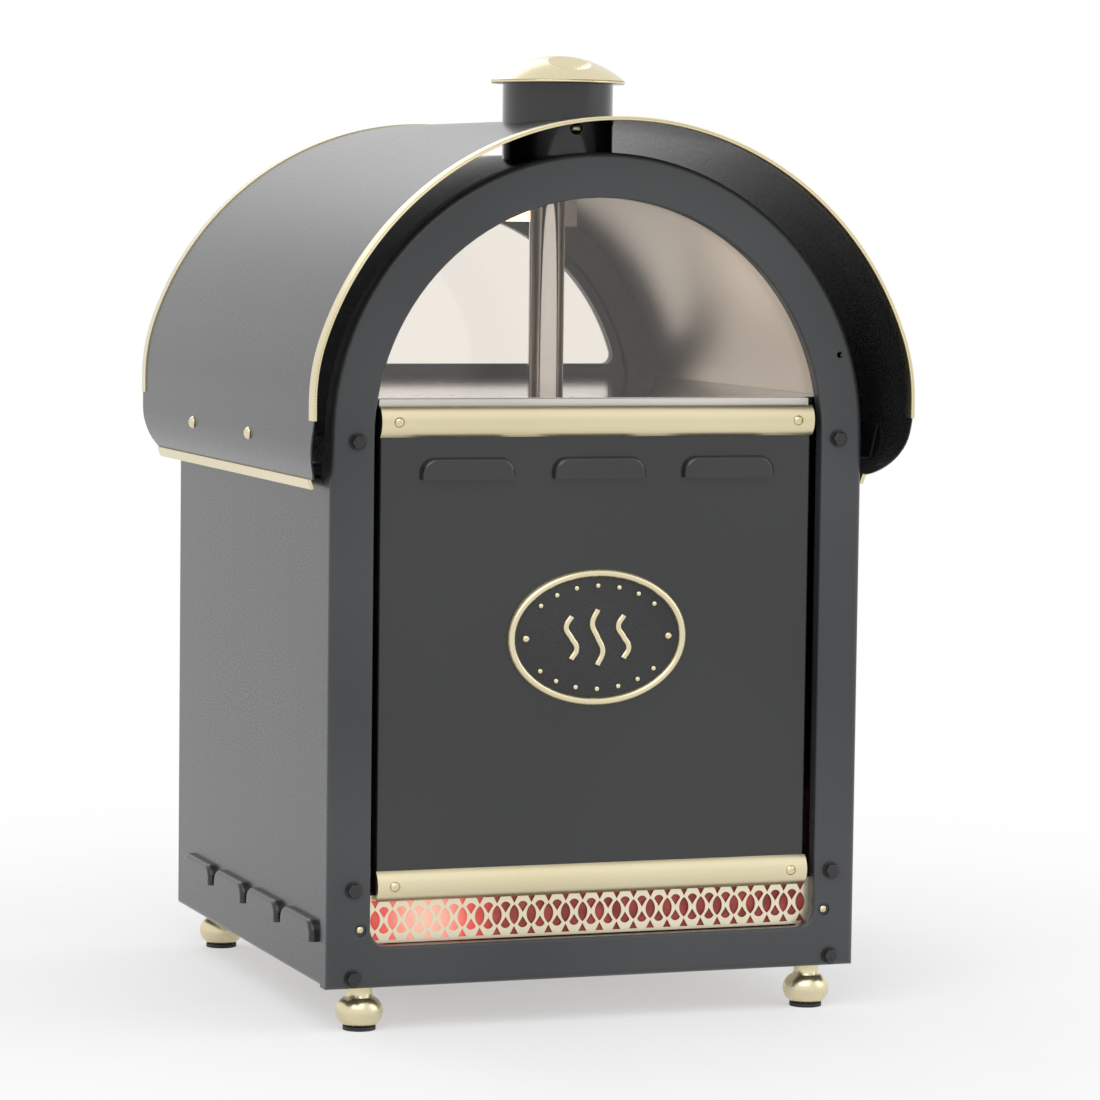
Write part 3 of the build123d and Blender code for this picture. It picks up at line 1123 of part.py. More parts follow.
def cable_gland():
    """Empty gland for a supply cable."""
    z = GLAND_HEIGHT
    body = rod_y(GLAND_X, z, REAR_PLATE_BACK - 12.0, REAR_PLATE_BACK + 10.0, 7.8)
    nut = slab(Pos(GLAND_X, z) * RegularPolygon(11.0, 6), CONTROL_FACE, 5.0)
    dome = rod_y(GLAND_X, z, REAR_PLATE_BACK + 7.0, REAR_PLATE_BACK + 17.0, 9.0)
    dome = fillet(dome.edges().group_by(Axis.Y)[-1], 3.0)
    return body + nut + dome - rod_y(GLAND_X, z, 150, 300, CABLE_RADIUS + 0.15)


def save(name, shape):
    solids = shape if isinstance(shape, list) else [shape]
    bodies = [solid for item in solids for solid in item.solids()]
    part = Compound(children=bodies) if len(bodies) > 1 else bodies[0]
    part.label = name
    export_step(part, f"parts/{name}.step")


def main():
    os.makedirs("parts", exist_ok=True)
    save("front_frame", front_frame())
    save("frame_bolts", frame_bolts())
    save("window_glass", window_glass())
    save("window_channel", window_channel())
    save("front_panel", front_panel())
    save("top_trim_strip", trim_strip(TOP_STRIP_BOTTOM))
    save("bottom_trim_strip", trim_strip(BOTTOM_STRIP_BOTTOM))
    save("badge_plate", badge_plate())
    save("badge_rim", badge_rim())
    save("badge_motif", badge_motif())
    save("front_screws", frame_screws() + trim_screws() + badge_pins())
    save("grille", grille())
    save("glow_lens", glow_lens())
    save("glow_lamp", glow_lamp())
    save("side_panel_left", side_panel(-1))
    save("side_panel_right", side_panel(1))
    save("display_roof", display_roof())
    save("display_liner", display_liner())
    save("display_floor", display_floor())
    save("display_lamp", display_lamp())
    save("lamp_holders", [glow_lamp_holder(), *display_lamp_holders()])
    save("flue_tube", flue_tube())
    save("base_pan", base_pan())
    save("feet", feet())
    save("foot_pads", foot_pads())
    save("canopy_sheet", canopy_sheet())
    save("canopy_front_trim", canopy_edge_trim(True))
    save("canopy_rear_trim", canopy_edge_trim(False))
    save("canopy_lower_trims", canopy_lower_trims())
    save("canopy_rails", canopy_rails())
    save("canopy_screws", canopy_screws())
    save("chimney", chimney())
    save("chimney_cap", chimney_cap())
    save("rear_frame", rear_frame())
    save("oven_chamber", oven_chamber())
    save("oven_insulation", oven_insulation())
    save("rack_runners", rack_runners())
    save("oven_racks", [oven_rack(height) for height in RACK_HEIGHTS])
    save("heating_element", heating_element())
    save("fan_wheel", fan_wheel())
    save("fan_motor", fan_motor())
    save("fan_cover", fan_cover())
    save("oven_door_panel", oven_door_panel())
    save("oven_door_liner", oven_door_liner())
    save("oven_door_gasket", oven_door_gasket())
    save("oven_door_handle", oven_door_handle())
    save("door_catch", door_catch())
    save("display_door_frame", display_door_frame())
    save("display_door_glass", display_door_glass())
    save("display_door_knob", display_door_knob())
    save("door_pivots", oven_door_pivots() + display_door_pivots())
    save("control_panel", control_panel())
    save("control_bodies", control_bodies())
    save("thermostat_knob", control_knob(THERMOSTAT_X))
    save("timer_knob", control_knob(TIMER_X))
    save("switch_housings", switch_housings())
    for name, x in zip(("oven", "light"), ROCKER_X):
        save(f"{name}_switch", rocker(x))
    save("indicator_lamps", indicator_lamps())
    save("cable_gland", cable_gland())


main()
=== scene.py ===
import json
import math

import bmesh
import bpy
from mathutils import Matrix, Vector

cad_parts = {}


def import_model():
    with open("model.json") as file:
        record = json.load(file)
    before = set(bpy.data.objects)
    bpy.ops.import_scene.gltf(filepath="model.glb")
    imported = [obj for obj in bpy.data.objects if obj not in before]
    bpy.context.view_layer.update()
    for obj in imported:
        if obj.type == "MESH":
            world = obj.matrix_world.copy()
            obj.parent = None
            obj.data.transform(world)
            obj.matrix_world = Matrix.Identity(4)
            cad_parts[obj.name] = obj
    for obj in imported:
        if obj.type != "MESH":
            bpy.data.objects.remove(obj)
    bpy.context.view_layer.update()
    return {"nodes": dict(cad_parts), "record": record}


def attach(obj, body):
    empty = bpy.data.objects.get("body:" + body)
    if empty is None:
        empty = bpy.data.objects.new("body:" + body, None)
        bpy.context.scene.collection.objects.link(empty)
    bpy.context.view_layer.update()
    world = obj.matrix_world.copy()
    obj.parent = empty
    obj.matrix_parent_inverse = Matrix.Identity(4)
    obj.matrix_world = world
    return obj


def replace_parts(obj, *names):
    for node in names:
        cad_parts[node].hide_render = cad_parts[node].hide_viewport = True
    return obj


# Counter-top potato oven with an arched window: materials, fine pieces, camera and light.
# Metres, in the model's own frame: -Y is the customer's side, Z is up.

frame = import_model()
nodes = frame["nodes"]

# ---- sizes that the fine pieces share with the model ----
CROWN_CENTRE = 0.4597
CROWN_RADIUS = 0.255
HAUNCH_RADIUS = 0.150
CANOPY_HALF_WIDTH = 0.2491
CANOPY_HALF_DEPTH = 0.258
TRIM_END = 0.4805
SHEET = 0.0012
TRIM_LOBE = 0.00075
TRIM_DEPTH = 0.012
TRIM_STEPS = 160
LOBE_STEPS = 8
CREASE = math.radians(50)
BADGE_CENTRE = 0.306
BADGE_FACE = -0.211
BADGE_HALF = (0.0755, 0.0545)
RIM_BASE = -0.209
RIM_HALF_WIDTH = 0.0035
RIM_HEIGHT = 0.005
RIM_STEPS_AROUND = 128
RIM_STEPS_ACROSS = 12
WAVES = ((-0.022, 0.034), (0.0, 0.044), (0.022, 0.034))
WAVE_SIDES = (0, 1, 0, -1, 0)
WAVE_SWING = 0.0045
WAVE_WIDTH = 0.005
WAVE_THICK = 0.002
BEADS_PER_SIDE = 7
BEAD_STEP = 17.0
BEAD_PATH = (0.0615, 0.041)
BEAD_RADIUS = 0.0021
BEAD_FLATNESS = 0.8
GLOW_SPOT = (-0.138, -0.202, 0.086)
GLOW_REACH = 0.075
CAP_DISH = (0.0, -0.130, 0.762)
CAP_DISH_RADIUS = 0.019
KNOB_HEIGHT = 0.096
THERMOSTAT_X = -0.125
TIMER_X = -0.050
PANEL_BACK = 0.212
NUMERAL_RING = 0.0275
NUMERAL_SIZE = 0.006
NUMERAL_LIFT = 0.0001
NUMERAL_THICK = 0.00005
FLOOR_HALF = 12.0
FLOOR_FADE = 1.4
FLOOR_NEAR_WHITE = 0.35
LAMP_AIM = (0, 0, 0.4)
BACK_LAMP_AIM = (0, 0, 0.5)

# ---- camera ----
CAMERA_PLACE = (-1.21873, -3.4730, 0.64861)
CAMERA_AZIMUTH = 19.86
CAMERA_DROP = 4.55
CAMERA_ROLL = 0.72
CAMERA_LENS = 144.76
CAMERA_SHIFT = (-0.0003, 0.0037)
CAMERA_SENSOR = 36.0


# ---------------- materials ----------------

NOISE_LOW = 0.35  # most of a noise texture lies between these two values
NOISE_HIGH = 0.65


def new_material(name):
    """An empty node material with a Principled shader."""
    material = bpy.data.materials.new(name)
    material.use_nodes = True
    tree = material.node_tree
    tree.nodes.clear()
    shader = tree.nodes.new("ShaderNodeBsdfPrincipled")
    output = tree.nodes.new("ShaderNodeOutputMaterial")
    tree.links.new(shader.outputs["BSDF"], output.inputs["Surface"])
    return material, tree, shader


def grain(tree, scale, detail=3.0, stretch=(1.0, 1.0, 1.0)):
    """Noise in the object's own coordinates, stretched for brushed metal."""
    place = tree.nodes.new("ShaderNodeTexCoord")
    mapping = tree.nodes.new("ShaderNodeMapping")
    mapping.inputs["Scale"].default_value = stretch
    texture = tree.nodes.new("ShaderNodeTexNoise")
    texture.inputs["Scale"].default_value = scale
    texture.inputs["Detail"].default_value = detail
    tree.links.new(place.outputs["Object"], mapping.inputs["Vector"])
    tree.links.new(mapping.outputs["Vector"], texture.inputs["Vector"])
    return texture.outputs["Fac"]


def spread(tree, value, low, high):
    """Maps the middle of a noise to a range of values."""
    node = tree.nodes.new("ShaderNodeMapRange")
    node.inputs["From Min"].default_value = NOISE_LOW
    node.inputs["From Max"].default_value = NOISE_HIGH
    node.inputs["To Min"].default_value = low
    node.inputs["To Max"].default_value = high
    tree.links.new(value, node.inputs["Value"])
    return node.outputs["Result"]


def tint(tree, value, dark, light):
    """Colour that runs from dark to light with a noise."""
    node = tree.nodes.new("ShaderNodeValToRGB")
    node.color_ramp.elements[0].position = NOISE_LOW
    node.color_ramp.elements[0].color = (*dark, 1.0)
    node.color_ramp.elements[1].position = NOISE_HIGH
    node.color_ramp.elements[1].color = (*light, 1.0)
    tree.links.new(value, node.inputs["Fac"])
    return node.outputs["Color"]


def relief(tree, shader, value, depth):
    """Shallow bump on a shader."""
    node = tree.nodes.new("ShaderNodeBump")
    node.inputs["Distance"].default_value = depth
    node.inputs["Strength"].default_value = 1.0
    tree.links.new(value, node.inputs["Height"])
    tree.links.new(node.outputs["Normal"], shader.inputs["Normal"])
    return node


def nearness(tree, centre, radius):
    """1 at a point of the object and 0 a radius away."""
    place = tree.nodes.new("ShaderNodeTexCoord")
    distance = tree.nodes.new("ShaderNodeVectorMath")
    distance.operation = "DISTANCE"
    distance.inputs[1].default_value = centre
    fall = tree.nodes.new("ShaderNodeMapRange")
    fall.interpolation_type = "SMOOTHSTEP"
    fall.inputs["From Min"].default_value = 0.0
    fall.inputs["From Max"].default_value = radius
    fall.inputs["To Min"].default_value = 1.0
    fall.inputs["To Max"].default_value = 0.0
    tree.links.new(place.outputs["Object"], distance.inputs[0])
    tree.links.new(distance.outputs["Value"], fall.inputs["Value"])
    return fall.outputs["Result"]


def enamel(name, dark, light, rough, peel, peel_scale, coat=0.0):
    """Stoved black paint: slight colour drift, orange peel and a clear gloss."""
    material, tree, shader = new_material(name)
    drift = grain(tree, 5.0, 1.0)
    tree.links.new(tint(tree, drift, dark, light), shader.inputs["Base Color"])
    tree.links.new(spread(tree, grain(tree, 600.0), *rough), shader.inputs["Roughness"])
    relief(tree, shader, grain(tree, peel_scale, 2.0), peel)
    shader.inputs["Coat Weight"].default_value = coat
    shader.inputs["Coat Roughness"].default_value = 0.08
    return material


def metal(name, dark, light, rough, stretch=(1.0, 1.0, 1.0), scale=900.0, depth=0.000002):
    """Bare metal with a fine grain, drawn out along an axis whose stretch is small."""
    material, tree, shader = new_material(name)
    shader.inputs["Metallic"].default_value = 1.0
    lines = grain(tree, scale, 4.0, stretch)
    tree.links.new(tint(tree, grain(tree, 6.0, 1.0), dark, light), shader.inputs["Base Color"])
    tree.links.new(spread(tree, lines, *rough), shader.inputs["Roughness"])
    relief(tree, shader, lines, depth)
    return material


def hammered_cap(name):
    """Satin gold metal with a beaten dish."""
    material = metal(name, BRASS_DARK, BRASS_LIGHT, (0.24, 0.30))
    tree = material.node_tree
    shader = next(n for n in tree.nodes if n.type == "BSDF_PRINCIPLED")
    cells = tree.nodes.new("ShaderNodeTexVoronoi")
    cells.inputs["Scale"].default_value = 420.0
    place = tree.nodes.new("ShaderNodeTexCoord")
    tree.links.new(place.outputs["Object"], cells.inputs["Vector"])
    fine = next(n for n in tree.nodes if n.type == "BUMP")
    bump = relief(tree, shader, cells.outputs["Distance"], 0.0006)
    tree.links.new(fine.outputs["Normal"], bump.inputs["Normal"])
    tree.links.new(nearness(tree, CAP_DISH, CAP_DISH_RADIUS), bump.inputs["Strength"])
    return material


def blend(tree, share, first, second, output):
    """Leads two shaders to an output, with a share of the second one."""
    mix = tree.nodes.new("ShaderNodeMixShader")
    tree.links.new(share, mix.inputs["Fac"])
    tree.links.new(first, mix.inputs[1])
    tree.links.new(second, mix.inputs[2])
    tree.links.new(mix.outputs["Shader"], output.inputs["Surface"])


def window(name, colour):
    """Clear pane that lets light through without caustics."""
    material, tree, shader = new_material(name)
    shader.inputs["Base Color"].default_value = (*colour, 1.0)
    shader.inputs["Transmission Weight"].default_value = 1.0
    shader.inputs["IOR"].default_value = 1.45
    tree.links.new(spread(tree, grain(tree, 12.0), 0.0, 0.03), shader.inputs["Roughness"])
    clear = tree.nodes.new("ShaderNodeBsdfTransparent")
    clear.inputs["Color"].default_value = (*colour, 1.0)
    shadow = tree.nodes.new("ShaderNodeLightPath").outputs["Is Shadow Ray"]
    output = next(n for n in tree.nodes if n.type == "OUTPUT_MATERIAL")
    blend(tree, shadow, shader.outputs["BSDF"], clear.outputs["BSDF"], output)
    return material


def glowing_lens(name):
    """Red sheet, brightest in front of its lamp."""
    material, tree, shader = new_material(name)
    drift = grain(tree, 60.0)
    colour = tint(tree, drift, (0.10, 0.012, 0.010), (0.30, 0.05, 0.04))
    tree.links.new(colour, shader.inputs["Base Color"])
    tree.links.new(spread(tree, grain(tree, 90.0), 0.25, 0.45), shader.inputs["Roughness"])
    near = nearness(tree, GLOW_SPOT, GLOW_REACH)
    glow = tree.nodes.new("ShaderNodeValToRGB")
    glow.color_ramp.elements[0].color = (0.10, 0.008, 0.006, 1.0)
    glow.color_ramp.elements[1].color = (1.0, 0.55, 0.42, 1.0)
    middle = glow.color_ramp.elements.new(0.55)
    middle.color = (0.75, 0.09, 0.07, 1.0)
    tree.links.new(near, glow.inputs["Fac"])
    tree.links.new(glow.outputs["Color"], shader.inputs["Emission Color"])
    shader.inputs["Emission Strength"].default_value = 0.9
    return material


def lamp_glass(name, colour, strength):
    """Glass of a lit lamp."""
    material, tree, shader = new_material(name)
    shader.inputs["Roughness"].default_value = 0.2
    skin = tint(tree, grain(tree, 50.0), colour, (1.0, 0.92, 0.8))
    tree.links.new(skin, shader.inputs["Base Color"])
    shader.inputs["Emission Color"].default_value = (*colour, 1.0)
    shader.inputs["Emission Strength"].default_value = strength
    return material


def moulded(name, dark, light, rough, scale=900.0, depth=0.00003):
    """Moulded plastic, rubber or ceramic with a fine surface grain."""
    material, tree, shader = new_material(name)
    tree.links.new(tint(tree, grain(tree, 40.0), dark, light), shader.inputs["Base Color"])
    tree.links.new(spread(tree, grain(tree, 70.0), *rough), shader.inputs["Roughness"])
    relief(tree, shader, grain(tree, scale), depth)
    return material


def wool(name):
    """Matted mineral fibre."""
    material, tree, shader = new_material(name)
    fibre = grain(tree, 300.0, 8.0, (1.0, 1.0, 3.0))
    colour = tint(tree, fibre, (0.42, 0.36, 0.20), (0.70, 0.62, 0.40))
    tree.links.new(colour, shader.inputs["Base Color"])
    shader.inputs["Roughness"].default_value = 0.95
    relief(tree, shader, fibre, 0.001)
    return material


BRASS_DARK = (0.72, 0.64, 0.42)
BRASS_LIGHT = (0.76, 0.68, 0.46)
BLACK = (0.014, 0.0150, 0.0155)
BLACK_LIGHT = (0.018, 0.0190, 0.0200)
FRAME_DARK = (0.026, 0.028, 0.030)
FRAME_LIGHT = (0.040, 0.043, 0.045)
FIELD_DARK = (0.014, 0.014, 0.015)
FIELD_LIGHT = (0.030, 0.030, 0.032)
BOLT_DARK = (0.012, 0.012, 0.013)
BOLT_LIGHT = (0.022, 0.022, 0.024)

gloss_black = enamel("gloss_black", BLACK, BLACK_LIGHT, (0.13, 0.16), 0.00001, 500.0, coat=0.25)
satin_black = enamel("satin_black", BLACK, BLACK_LIGHT, (0.26, 0.28), 0.000004, 500.0, coat=0.1)
frame_black = enamel("frame_black", FRAME_DARK, FRAME_LIGHT, (0.34, 0.46), 0.00020, 620.0, coat=0.3)
field_black = enamel("field_black", FIELD_DARK, FIELD_LIGHT, (0.45, 0.65), 0.0008, 700.0)
bolt_black = enamel("bolt_black", BOLT_DARK, BOLT_LIGHT, (0.25, 0.4), 0.00004, 900.0)
brass = metal("brass", BRASS_DARK, BRASS_LIGHT, (0.26, 0.30))
strip_brass = metal("strip_brass", BRASS_DARK, BRASS_LIGHT, (0.30, 0.36), (0.03, 1.0, 1.0), 900.0, 0.000005)
fret_brass = metal("fret_brass", (0.78, 0.71, 0.52), (0.84, 0.77, 0.58), (0.30, 0.38))
cap_brass = hammered_cap("cap_brass")
polished = metal("polished", (0.62, 0.59, 0.56), (0.68, 0.65, 0.62), (0.08, 0.12))
brushed = metal("brushed", (0.48, 0.48, 0.48), (0.60, 0.60, 0.60), (0.26, 0.42), (0.04, 1.0, 1.0), 700.0)
pale_steel = metal("pale_steel", (0.64, 0.61, 0.57), (0.74, 0.71, 0.67), (0.30, 0.45))
chromed = metal("chromed", (0.62, 0.63, 0.65), (0.72, 0.73, 0.75), (0.05, 0.12))
sheath = moulded("sheath", (0.05, 0.05, 0.05), (0.11, 0.105, 0.10), (0.5, 0.7))
ceramic = moulded("ceramic", (0.70, 0.67, 0.60), (0.80, 0.77, 0.70), (0.35, 0.5))
rubber = moulded("rubber", (0.012, 0.012, 0.012), (0.03, 0.03, 0.03), (0.55, 0.75))
plastic = moulded("plastic", (0.010, 0.010, 0.010), (0.02, 0.02, 0.02), (0.3, 0.45))
red_key = moulded("red_key", (0.32, 0.012, 0.010), (0.45, 0.02, 0.015), (0.2, 0.3))
amber = lamp_glass("amber", (0.85, 0.28, 0.04), 0.25)
warm_lamp = lamp_glass("warm_lamp", (1.0, 0.62, 0.34), 3.0)
liner_steel = metal("liner_steel", (0.76, 0.70, 0.64), (0.80, 0.74, 0.68), (0.28, 0.34))
clear = window("clear", (0.93, 0.90, 0.86))
lens_glow = glowing_lens("lens_glow")
mineral = wool("mineral")
ink = moulded("ink", (0.75, 0.75, 0.73), (0.85, 0.85, 0.83), (0.5, 0.6))

SLOT_MATERIALS = {
    "black_textured": frame_black,
    "black_gloss": gloss_black,
    "black_hardware": bolt_black,
    "black_aluminium": gloss_black,
    "brass": brass,
    "badge_field": field_black,
    "clear_glass": clear,
    "pale_steel": pale_steel,
    "polished_steel": polished,
    "brushed_steel": brushed,
    "chromed_wire": chromed,
    "dark_sheath": sheath,
    "white_ceramic": ceramic,
    "mineral_wool": mineral,
    "red_lens": lens_glow,
    "warm_lamp": warm_lamp,
    "amber_lens": amber,
    "black_rubber": rubber,
    "black_plastic": plastic,
    "red_plastic": red_key,
}
NODE_MATERIALS = {
    "chimney_cap": cap_brass,
    "canopy_sheet": satin_black,
    "side_panel_left": satin_black,
    "side_panel_right": satin_black,
    "display_liner": liner_steel,
    "top_trim_strip": strip_brass,
    "bottom_trim_strip": strip_brass,
    "grille": fret_brass,
}


def dress_nodes():
    """Gives each node of the model its own material or the one of its slot."""
    slots = {part["node"]: part["material_slot"] for part in frame["record"]["subparts"]}
    for name, node in nodes.items():
        node.data.materials.clear()
        node.data.materials.append(NODE_MATERIALS.get(name, SLOT_MATERIALS[slots[name]]))


# ---------------- fine pieces ----------------


def finish_piece(name, mesh, material, body="cabinet"):
    """Makes an object of a mesh, with its material, on a body of the model."""
    piece = bpy.data.objects.new(name, mesh)
    bpy.context.scene.collection.objects.link(piece)
    mesh.materials.append(material)
    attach(piece, body)
    return piece


def ring_mesh(name, rings, closed):
    """Skin over rings of points: closed on itself, or open with a face over each end."""
    mesh_maker = bmesh.new()
    rings = [[mesh_maker.verts.new(place) for place in ring] for ring in rings]
    last = rings[:1] if closed else []
    for near, far in zip(rings, rings[1:] + last):
        for i in range(len(near)):
            j = (i + 1) % len(near)
            mesh_maker.faces.new((near[i], near[j], far[j], far[i]))
    if not closed:
        mesh_maker.faces.new(rings[0])
        mesh_maker.faces.new(list(reversed(rings[-1])))
    bmesh.ops.recalc_face_normals(mesh_maker, faces=mesh_maker.faces)
    mesh = bpy.data.meshes.new(name)
    mesh_maker.to_mesh(mesh)
    mesh_maker.free()
    mesh.shade_smooth()
    mesh.set_sharp_from_angle(angle=CREASE)
    return mesh


def canopy_path():
    """Points and outward directions along the outer arch of the canopy, from left to right."""
    reach = CANOPY_HALF_WIDTH - HAUNCH_RADIUS
    step = CROWN_RADIUS - HAUNCH_RADIUS
    joint = math.acos(reach / step)
    haunch_height = CROWN_CENTRE + step * math.sin(joint)
    path = [(Vector((-CANOPY_HALF_WIDTH, 0, TRIM_END)), Vector((-1, 0, 0)))]
    for i in range(TRIM_STEPS + 1):
        angle = math.pi * (1.0 - i / TRIM_STEPS)
        outward = Vector((math.cos(angle), 0, math.sin(angle)))
        if joint <= angle <= math.pi - joint:
            point = Vector((0, 0, CROWN_CENTRE)) + CROWN_RADIUS * outward
        else:
            centre = Vector((math.copysign(reach, outward.x), 0, haunch_height))
            point = centre + HAUNCH_RADIUS * outward
        path.append((point, outward))
    path.append((Vector((CANOPY_HALF_WIDTH, 0, TRIM_END)), Vector((1, 0, 0))))
    return path


def trim_profile():
    """Outline of the edge channel: two round lobes at its face with a groove between them."""
    lobe = TRIM_LOBE
    middle = -SHEET / 2
    outline = [(middle - 2 * lobe, TRIM_DEPTH), (middle - 2 * lobe, lobe)]
    for centre in (middle - lobe, middle + lobe):
        for i in range(1, LOBE_STEPS):
            angle = math.pi * (1.0 - i / LOBE_STEPS)
            outline.append((centre + lobe * math.cos(angle), lobe - lobe * math.sin(angle)))
    return outline + [(middle + 2 * lobe, lobe), (middle + 2 * lobe, TRIM_DEPTH)]


def canopy_trim(name, face, inward, node):
    """Rolled edge channel round one arch of the canopy."""
    profile = trim_profile()
    rings = []
    for point, outward in canopy_path():
        spots = [(point + outward * radial, depth) for radial, depth in profile]
        rings.append([(spot.x, face + inward * depth, spot.z) for spot, depth in spots])
    piece = finish_piece(name, ring_mesh(name, rings, closed=False), brass)
    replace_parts(piece, node)


def curve_mesh(name, points, width, thick):
    """Rounded ribbon along a smooth curve in the plane of the badge."""
    data = bpy.data.curves.new(name, "CURVE")
    data.dimensions = "3D"
    data.bevel_depth = width / 2
    data.bevel_resolution = 5
    data.resolution_u = 16
    spline = data.splines.new("BEZIER")
    spline.bezier_points.add(len(points) - 1)
    for knot, place in zip(spline.bezier_points, points):
        knot.co = place
        knot.handle_left_type = knot.handle_right_type = "AUTO"
    data.use_fill_caps = True
    holder = bpy.data.objects.new(name, data)
    mesh = bpy.data.meshes.new_from_object(holder)
    bpy.data.objects.remove(holder)
    squash = Matrix.Translation((0, BADGE_FACE, 0)) @ Matrix.Scale(2 * thick / width, 4, (0, 1, 0))
    mesh.transform(squash)
    mesh.shade_smooth()
    return mesh


def heat_wave(x, height):
    """Points of one upright wave, drawn in the plane Y = 0."""
    last = len(WAVE_SIDES) - 1
    return [
        (x + side * WAVE_SWING, 0, BADGE_CENTRE + (i / last - 0.5) * height)
        for i, side in enumerate(WAVE_SIDES)
    ]


def bead_mesh(places):
    """Low domed beads on the badge."""
    mesh_maker = bmesh.new()
    for x, z in places:
        turn = Matrix.Translation((x, BADGE_FACE, z)) @ Matrix.Diagonal((1, BEAD_FLATNESS, 1, 1))
        bmesh.ops.create_uvsphere(
            mesh_maker, u_segments=20, v_segments=12, radius=BEAD_RADIUS, matrix=turn
        )
    mesh = bpy.data.meshes.new("badge_beads")
    mesh_maker.to_mesh(mesh)
    mesh_maker.free()
    mesh.shade_smooth()
    return mesh


def badge_rim():
    """Half-round rim of the badge, a little wider inwards than the solid one."""
    half_x, half_z = (half - RIM_HALF_WIDTH for half in BADGE_HALF)
    rings = []
    for i in range(RIM_STEPS_AROUND):
        angle = 2 * math.pi * i / RIM_STEPS_AROUND
        middle = Vector((half_x * math.cos(angle), 0, half_z * math.sin(angle)))
        outward = Vector((half_z * math.cos(angle), 0, half_x * math.sin(angle))).normalized()
        ring = []
        for j in range(RIM_STEPS_ACROSS + 1):
            bend = math.pi * j / RIM_STEPS_ACROSS
            place = middle + outward * RIM_HALF_WIDTH * math.cos(bend)
            ring.append((place.x, RIM_BASE - RIM_HEIGHT * math.sin(bend), BADGE_CENTRE + place.z))
        rings.append(ring)
    mesh = ring_mesh("badge_edge", rings, closed=True)
    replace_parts(finish_piece("badge_edge", mesh, brass), "badge_rim")


def badge_relief():
    """Three raised heat waves and two rows of beads."""
    pieces = []
    for i, (x, height) in enumerate(WAVES):
        name = f"badge_wave_{i + 1}"
        mesh = curve_mesh(name, heat_wave(x, height), WAVE_WIDTH, WAVE_THICK)
        pieces.append(finish_piece(name, mesh, brass))
    places = []
    for side in (-1, 1):
        for i in range(BEADS_PER_SIDE):
            angle = math.radians(90 * side + (i - (BEADS_PER_SIDE - 1) / 2) * BEAD_STEP)
            places.append(
                (BEAD_PATH[0] * math.cos(angle), BADGE_CENTRE + BEAD_PATH[1] * math.sin(angle))
            )
    finish_piece("badge_beads", bead_mesh(places), brass)
    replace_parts(pieces[0], "badge_motif")


def legend(name, text, x, z):
    """Printed numeral on the control plate, read from behind the oven."""
    data = bpy.data.curves.new(name, "FONT")
    data.body = text
    data.size = NUMERAL_SIZE
    data.align_x = "CENTER"
    data.align_y = "CENTER"
    data.extrude = NUMERAL_THICK
    holder = bpy.data.objects.new(name, data)
    mesh = bpy.data.meshes.new_from_object(holder)
    bpy.data.objects.remove(holder)
    place = Matrix.Translation((x, PANEL_BACK + NUMERAL_LIFT, z))
    upright = Matrix.Rotation(math.pi / 2, 4, "X")
    mesh.transform(place @ Matrix.Rotation(math.pi, 4, "Z") @ upright)
    finish_piece(name, mesh, ink)


def dial(name, x, marks, sweep):
    """Numerals round a knob."""
    for i, mark in enumerate(marks):
        angle = math.radians(90 + sweep / 2 - sweep * i / (len(marks) - 1))
        place_x = x - NUMERAL_RING * math.cos(angle)
        place_z = KNOB_HEIGHT + NUMERAL_RING * math.sin(angle)
        legend(f"{name}_{mark}", str(mark), place_x, place_z)


# ---------------- stage ----------------


def calculate(tree, operation, first, second):
    """Result of a maths node over two sockets."""
    node = tree.nodes.new("ShaderNodeMath")
    node.operation = operation
    tree.links.new(first, node.inputs[0])
    tree.links.new(second, node.inputs[1])
    return node.outputs["Value"]


def seen(tree):
    """1 for the rays that show the surroundings: straight, in gloss and through glass."""
    rays = tree.nodes.new("ShaderNodeLightPath").outputs
    gloss = calculate(tree, "MAXIMUM", rays["Is Camera Ray"], rays["Is Glossy Ray"])
    return calculate(tree, "MAXIMUM", gloss, rays["Is Transmission Ray"])


def floor():
    """Pale floor that fades to white away from the oven and takes its shadow."""
    mesh_maker = bmesh.new()
    bmesh.ops.create_grid(mesh_maker, x_segments=8, y_segments=8, size=FLOOR_HALF)
    mesh = bpy.data.meshes.new("floor")
    mesh_maker.to_mesh(mesh)
    mesh_maker.free()
    ground = bpy.data.objects.new("floor", mesh)
    bpy.context.scene.collection.objects.link(ground)
    material, tree, shader = new_material("floor_paper")
    paper = tint(tree, grain(tree, 3.0), (0.88, 0.88, 0.88), (0.92, 0.92, 0.92))
    tree.links.new(paper, shader.inputs["Base Color"])
    shader.inputs["Roughness"].default_value = 0.9
    shader.inputs["Specular IOR Level"].default_value = 0.0
    white = tree.nodes.new("ShaderNodeEmission")
    fade = tree.nodes.new("ShaderNodeMapRange")
    fade.inputs["To Min"].default_value = 1.0
    fade.inputs["To Max"].default_value = FLOOR_NEAR_WHITE
    tree.links.new(nearness(tree, (0.0, 0.0, 0.0), FLOOR_FADE), fade.inputs["Value"])
    share = calculate(tree, "MULTIPLY", seen(tree), fade.outputs["Result"])
    output = next(n for n in tree.nodes if n.type == "OUTPUT_MATERIAL")
    blend(tree, share, shader.outputs["BSDF"], white.outputs["Emission"], output)
    mesh.materials.append(material)


def softbox(name, place, aim, size, power):
    """Large rectangular lamp aimed at a point."""
    data = bpy.data.lights.new(name, "AREA")
    data.shape = "RECTANGLE"
    data.size, data.size_y = size
    data.energy = power
    lamp = bpy.data.objects.new(name, data)
    lamp.location = place
    direction = Vector(aim) - Vector(place)
    lamp.rotation_euler = direction.to_track_quat("-Z", "Y").to_euler()
    bpy.context.scene.collection.objects.link(lamp)


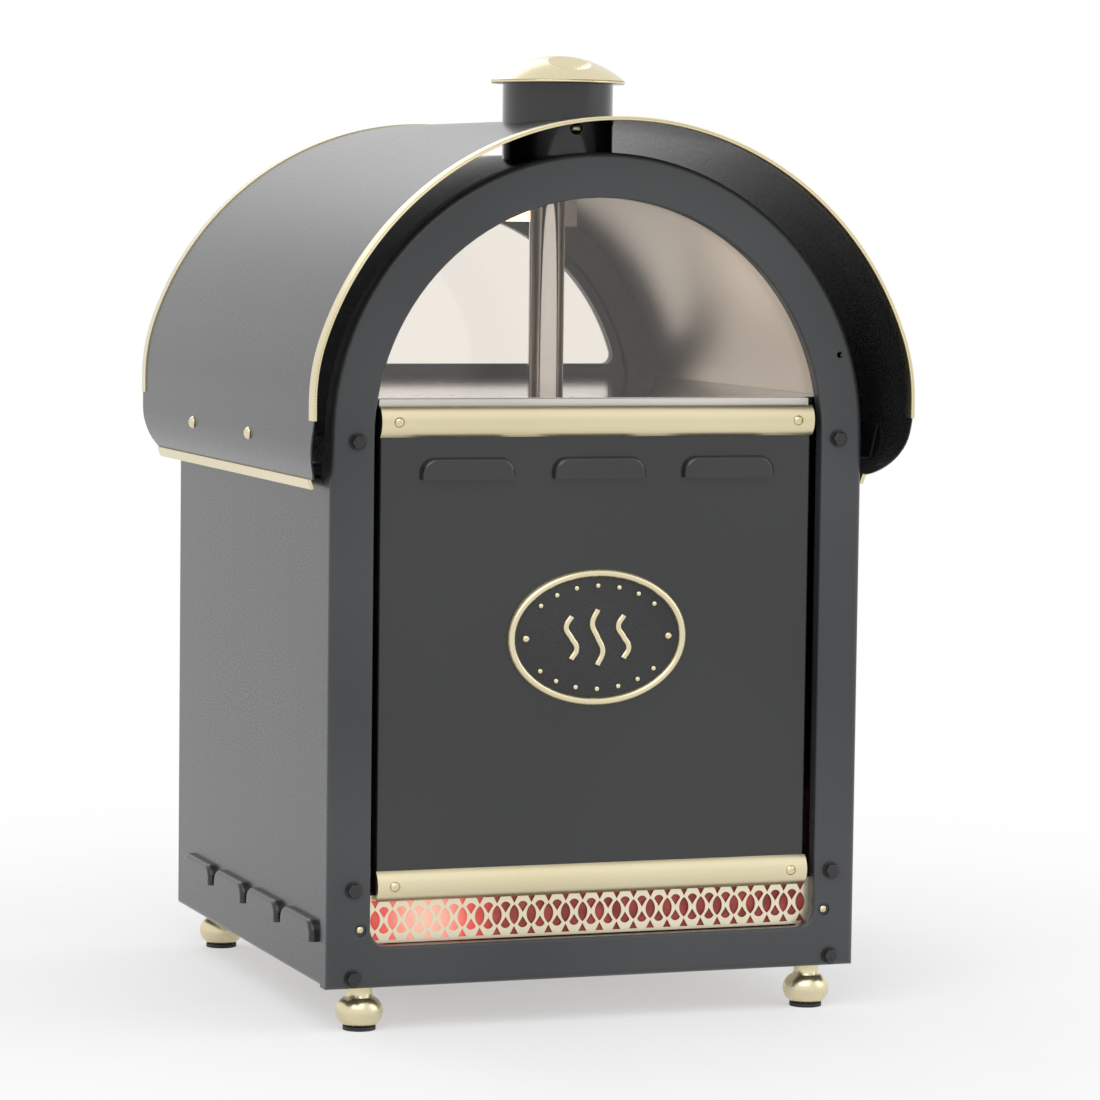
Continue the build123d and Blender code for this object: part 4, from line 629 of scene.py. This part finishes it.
def world():
    """Even pale light, seen as white directly, in gloss and through glass."""
    scene = bpy.context.scene
    scene.world = bpy.data.worlds.new("studio")
    scene.world.use_nodes = True
    tree = scene.world.node_tree
    pale = tree.nodes["Background"]
    pale.inputs["Color"].default_value = (0.97, 0.98, 1.0, 1.0)
    pale.inputs["Strength"].default_value = 0.8
    white = tree.nodes.new("ShaderNodeBackground")
    white.inputs["Color"].default_value = (1.0, 1.0, 1.0, 1.0)
    shaders = [node.outputs["Background"] for node in (pale, white)]
    blend(tree, seen(tree), *shaders, tree.nodes["World Output"])
    scene.view_settings.view_transform = "Standard"


def camera():
    """Long lens, left of the front and a little above the oven's middle."""
    azimuth, drop, roll = (math.radians(a) for a in (CAMERA_AZIMUTH, CAMERA_DROP, CAMERA_ROLL))
    reach = math.cos(drop)
    forward = Vector((math.sin(azimuth) * reach, math.cos(azimuth) * reach, -math.sin(drop)))
    level = Vector((math.cos(azimuth), -math.sin(azimuth), 0))
    upright = level.cross(forward)
    right = level * math.cos(roll) + upright * math.sin(roll)
    up = -level * math.sin(roll) + upright * math.cos(roll)
    data = bpy.data.cameras.new("camera")
    data.lens = CAMERA_LENS
    data.sensor_width = CAMERA_SENSOR
    data.shift_x, data.shift_y = CAMERA_SHIFT
    eye = bpy.data.objects.new("camera", data)
    turn = Matrix((right, up, -forward)).transposed().to_4x4()
    eye.matrix_world = Matrix.Translation(CAMERA_PLACE) @ turn
    bpy.context.scene.collection.objects.link(eye)
    bpy.context.scene.camera = eye


def main():
    """Dresses the model, adds the fine pieces and sets the stage."""
    dress_nodes()
    canopy_trim("canopy_trim_front", -CANOPY_HALF_DEPTH, 1, "canopy_front_trim")
    canopy_trim("canopy_trim_back", CANOPY_HALF_DEPTH, -1, "canopy_rear_trim")
    badge_rim()
    badge_relief()
    dial("oven_heat", THERMOSTAT_X, (0, 50, 100, 150, 200, 250), 270)
    dial("timer_minutes", TIMER_X, (0, 15, 30, 45, 60), 300)
    floor()
    softbox("key", (-1.5, -2.6, 3.6), LAMP_AIM, (4.0, 3.0), 55.0)
    softbox("side", (3.2, -1.6, 2.0), LAMP_AIM, (2.4, 2.4), 18.0)
    softbox("back", (-0.5, 3.4, 3.0), BACK_LAMP_AIM, (3.0, 2.0), 25.0)
    world()
    camera()


main()
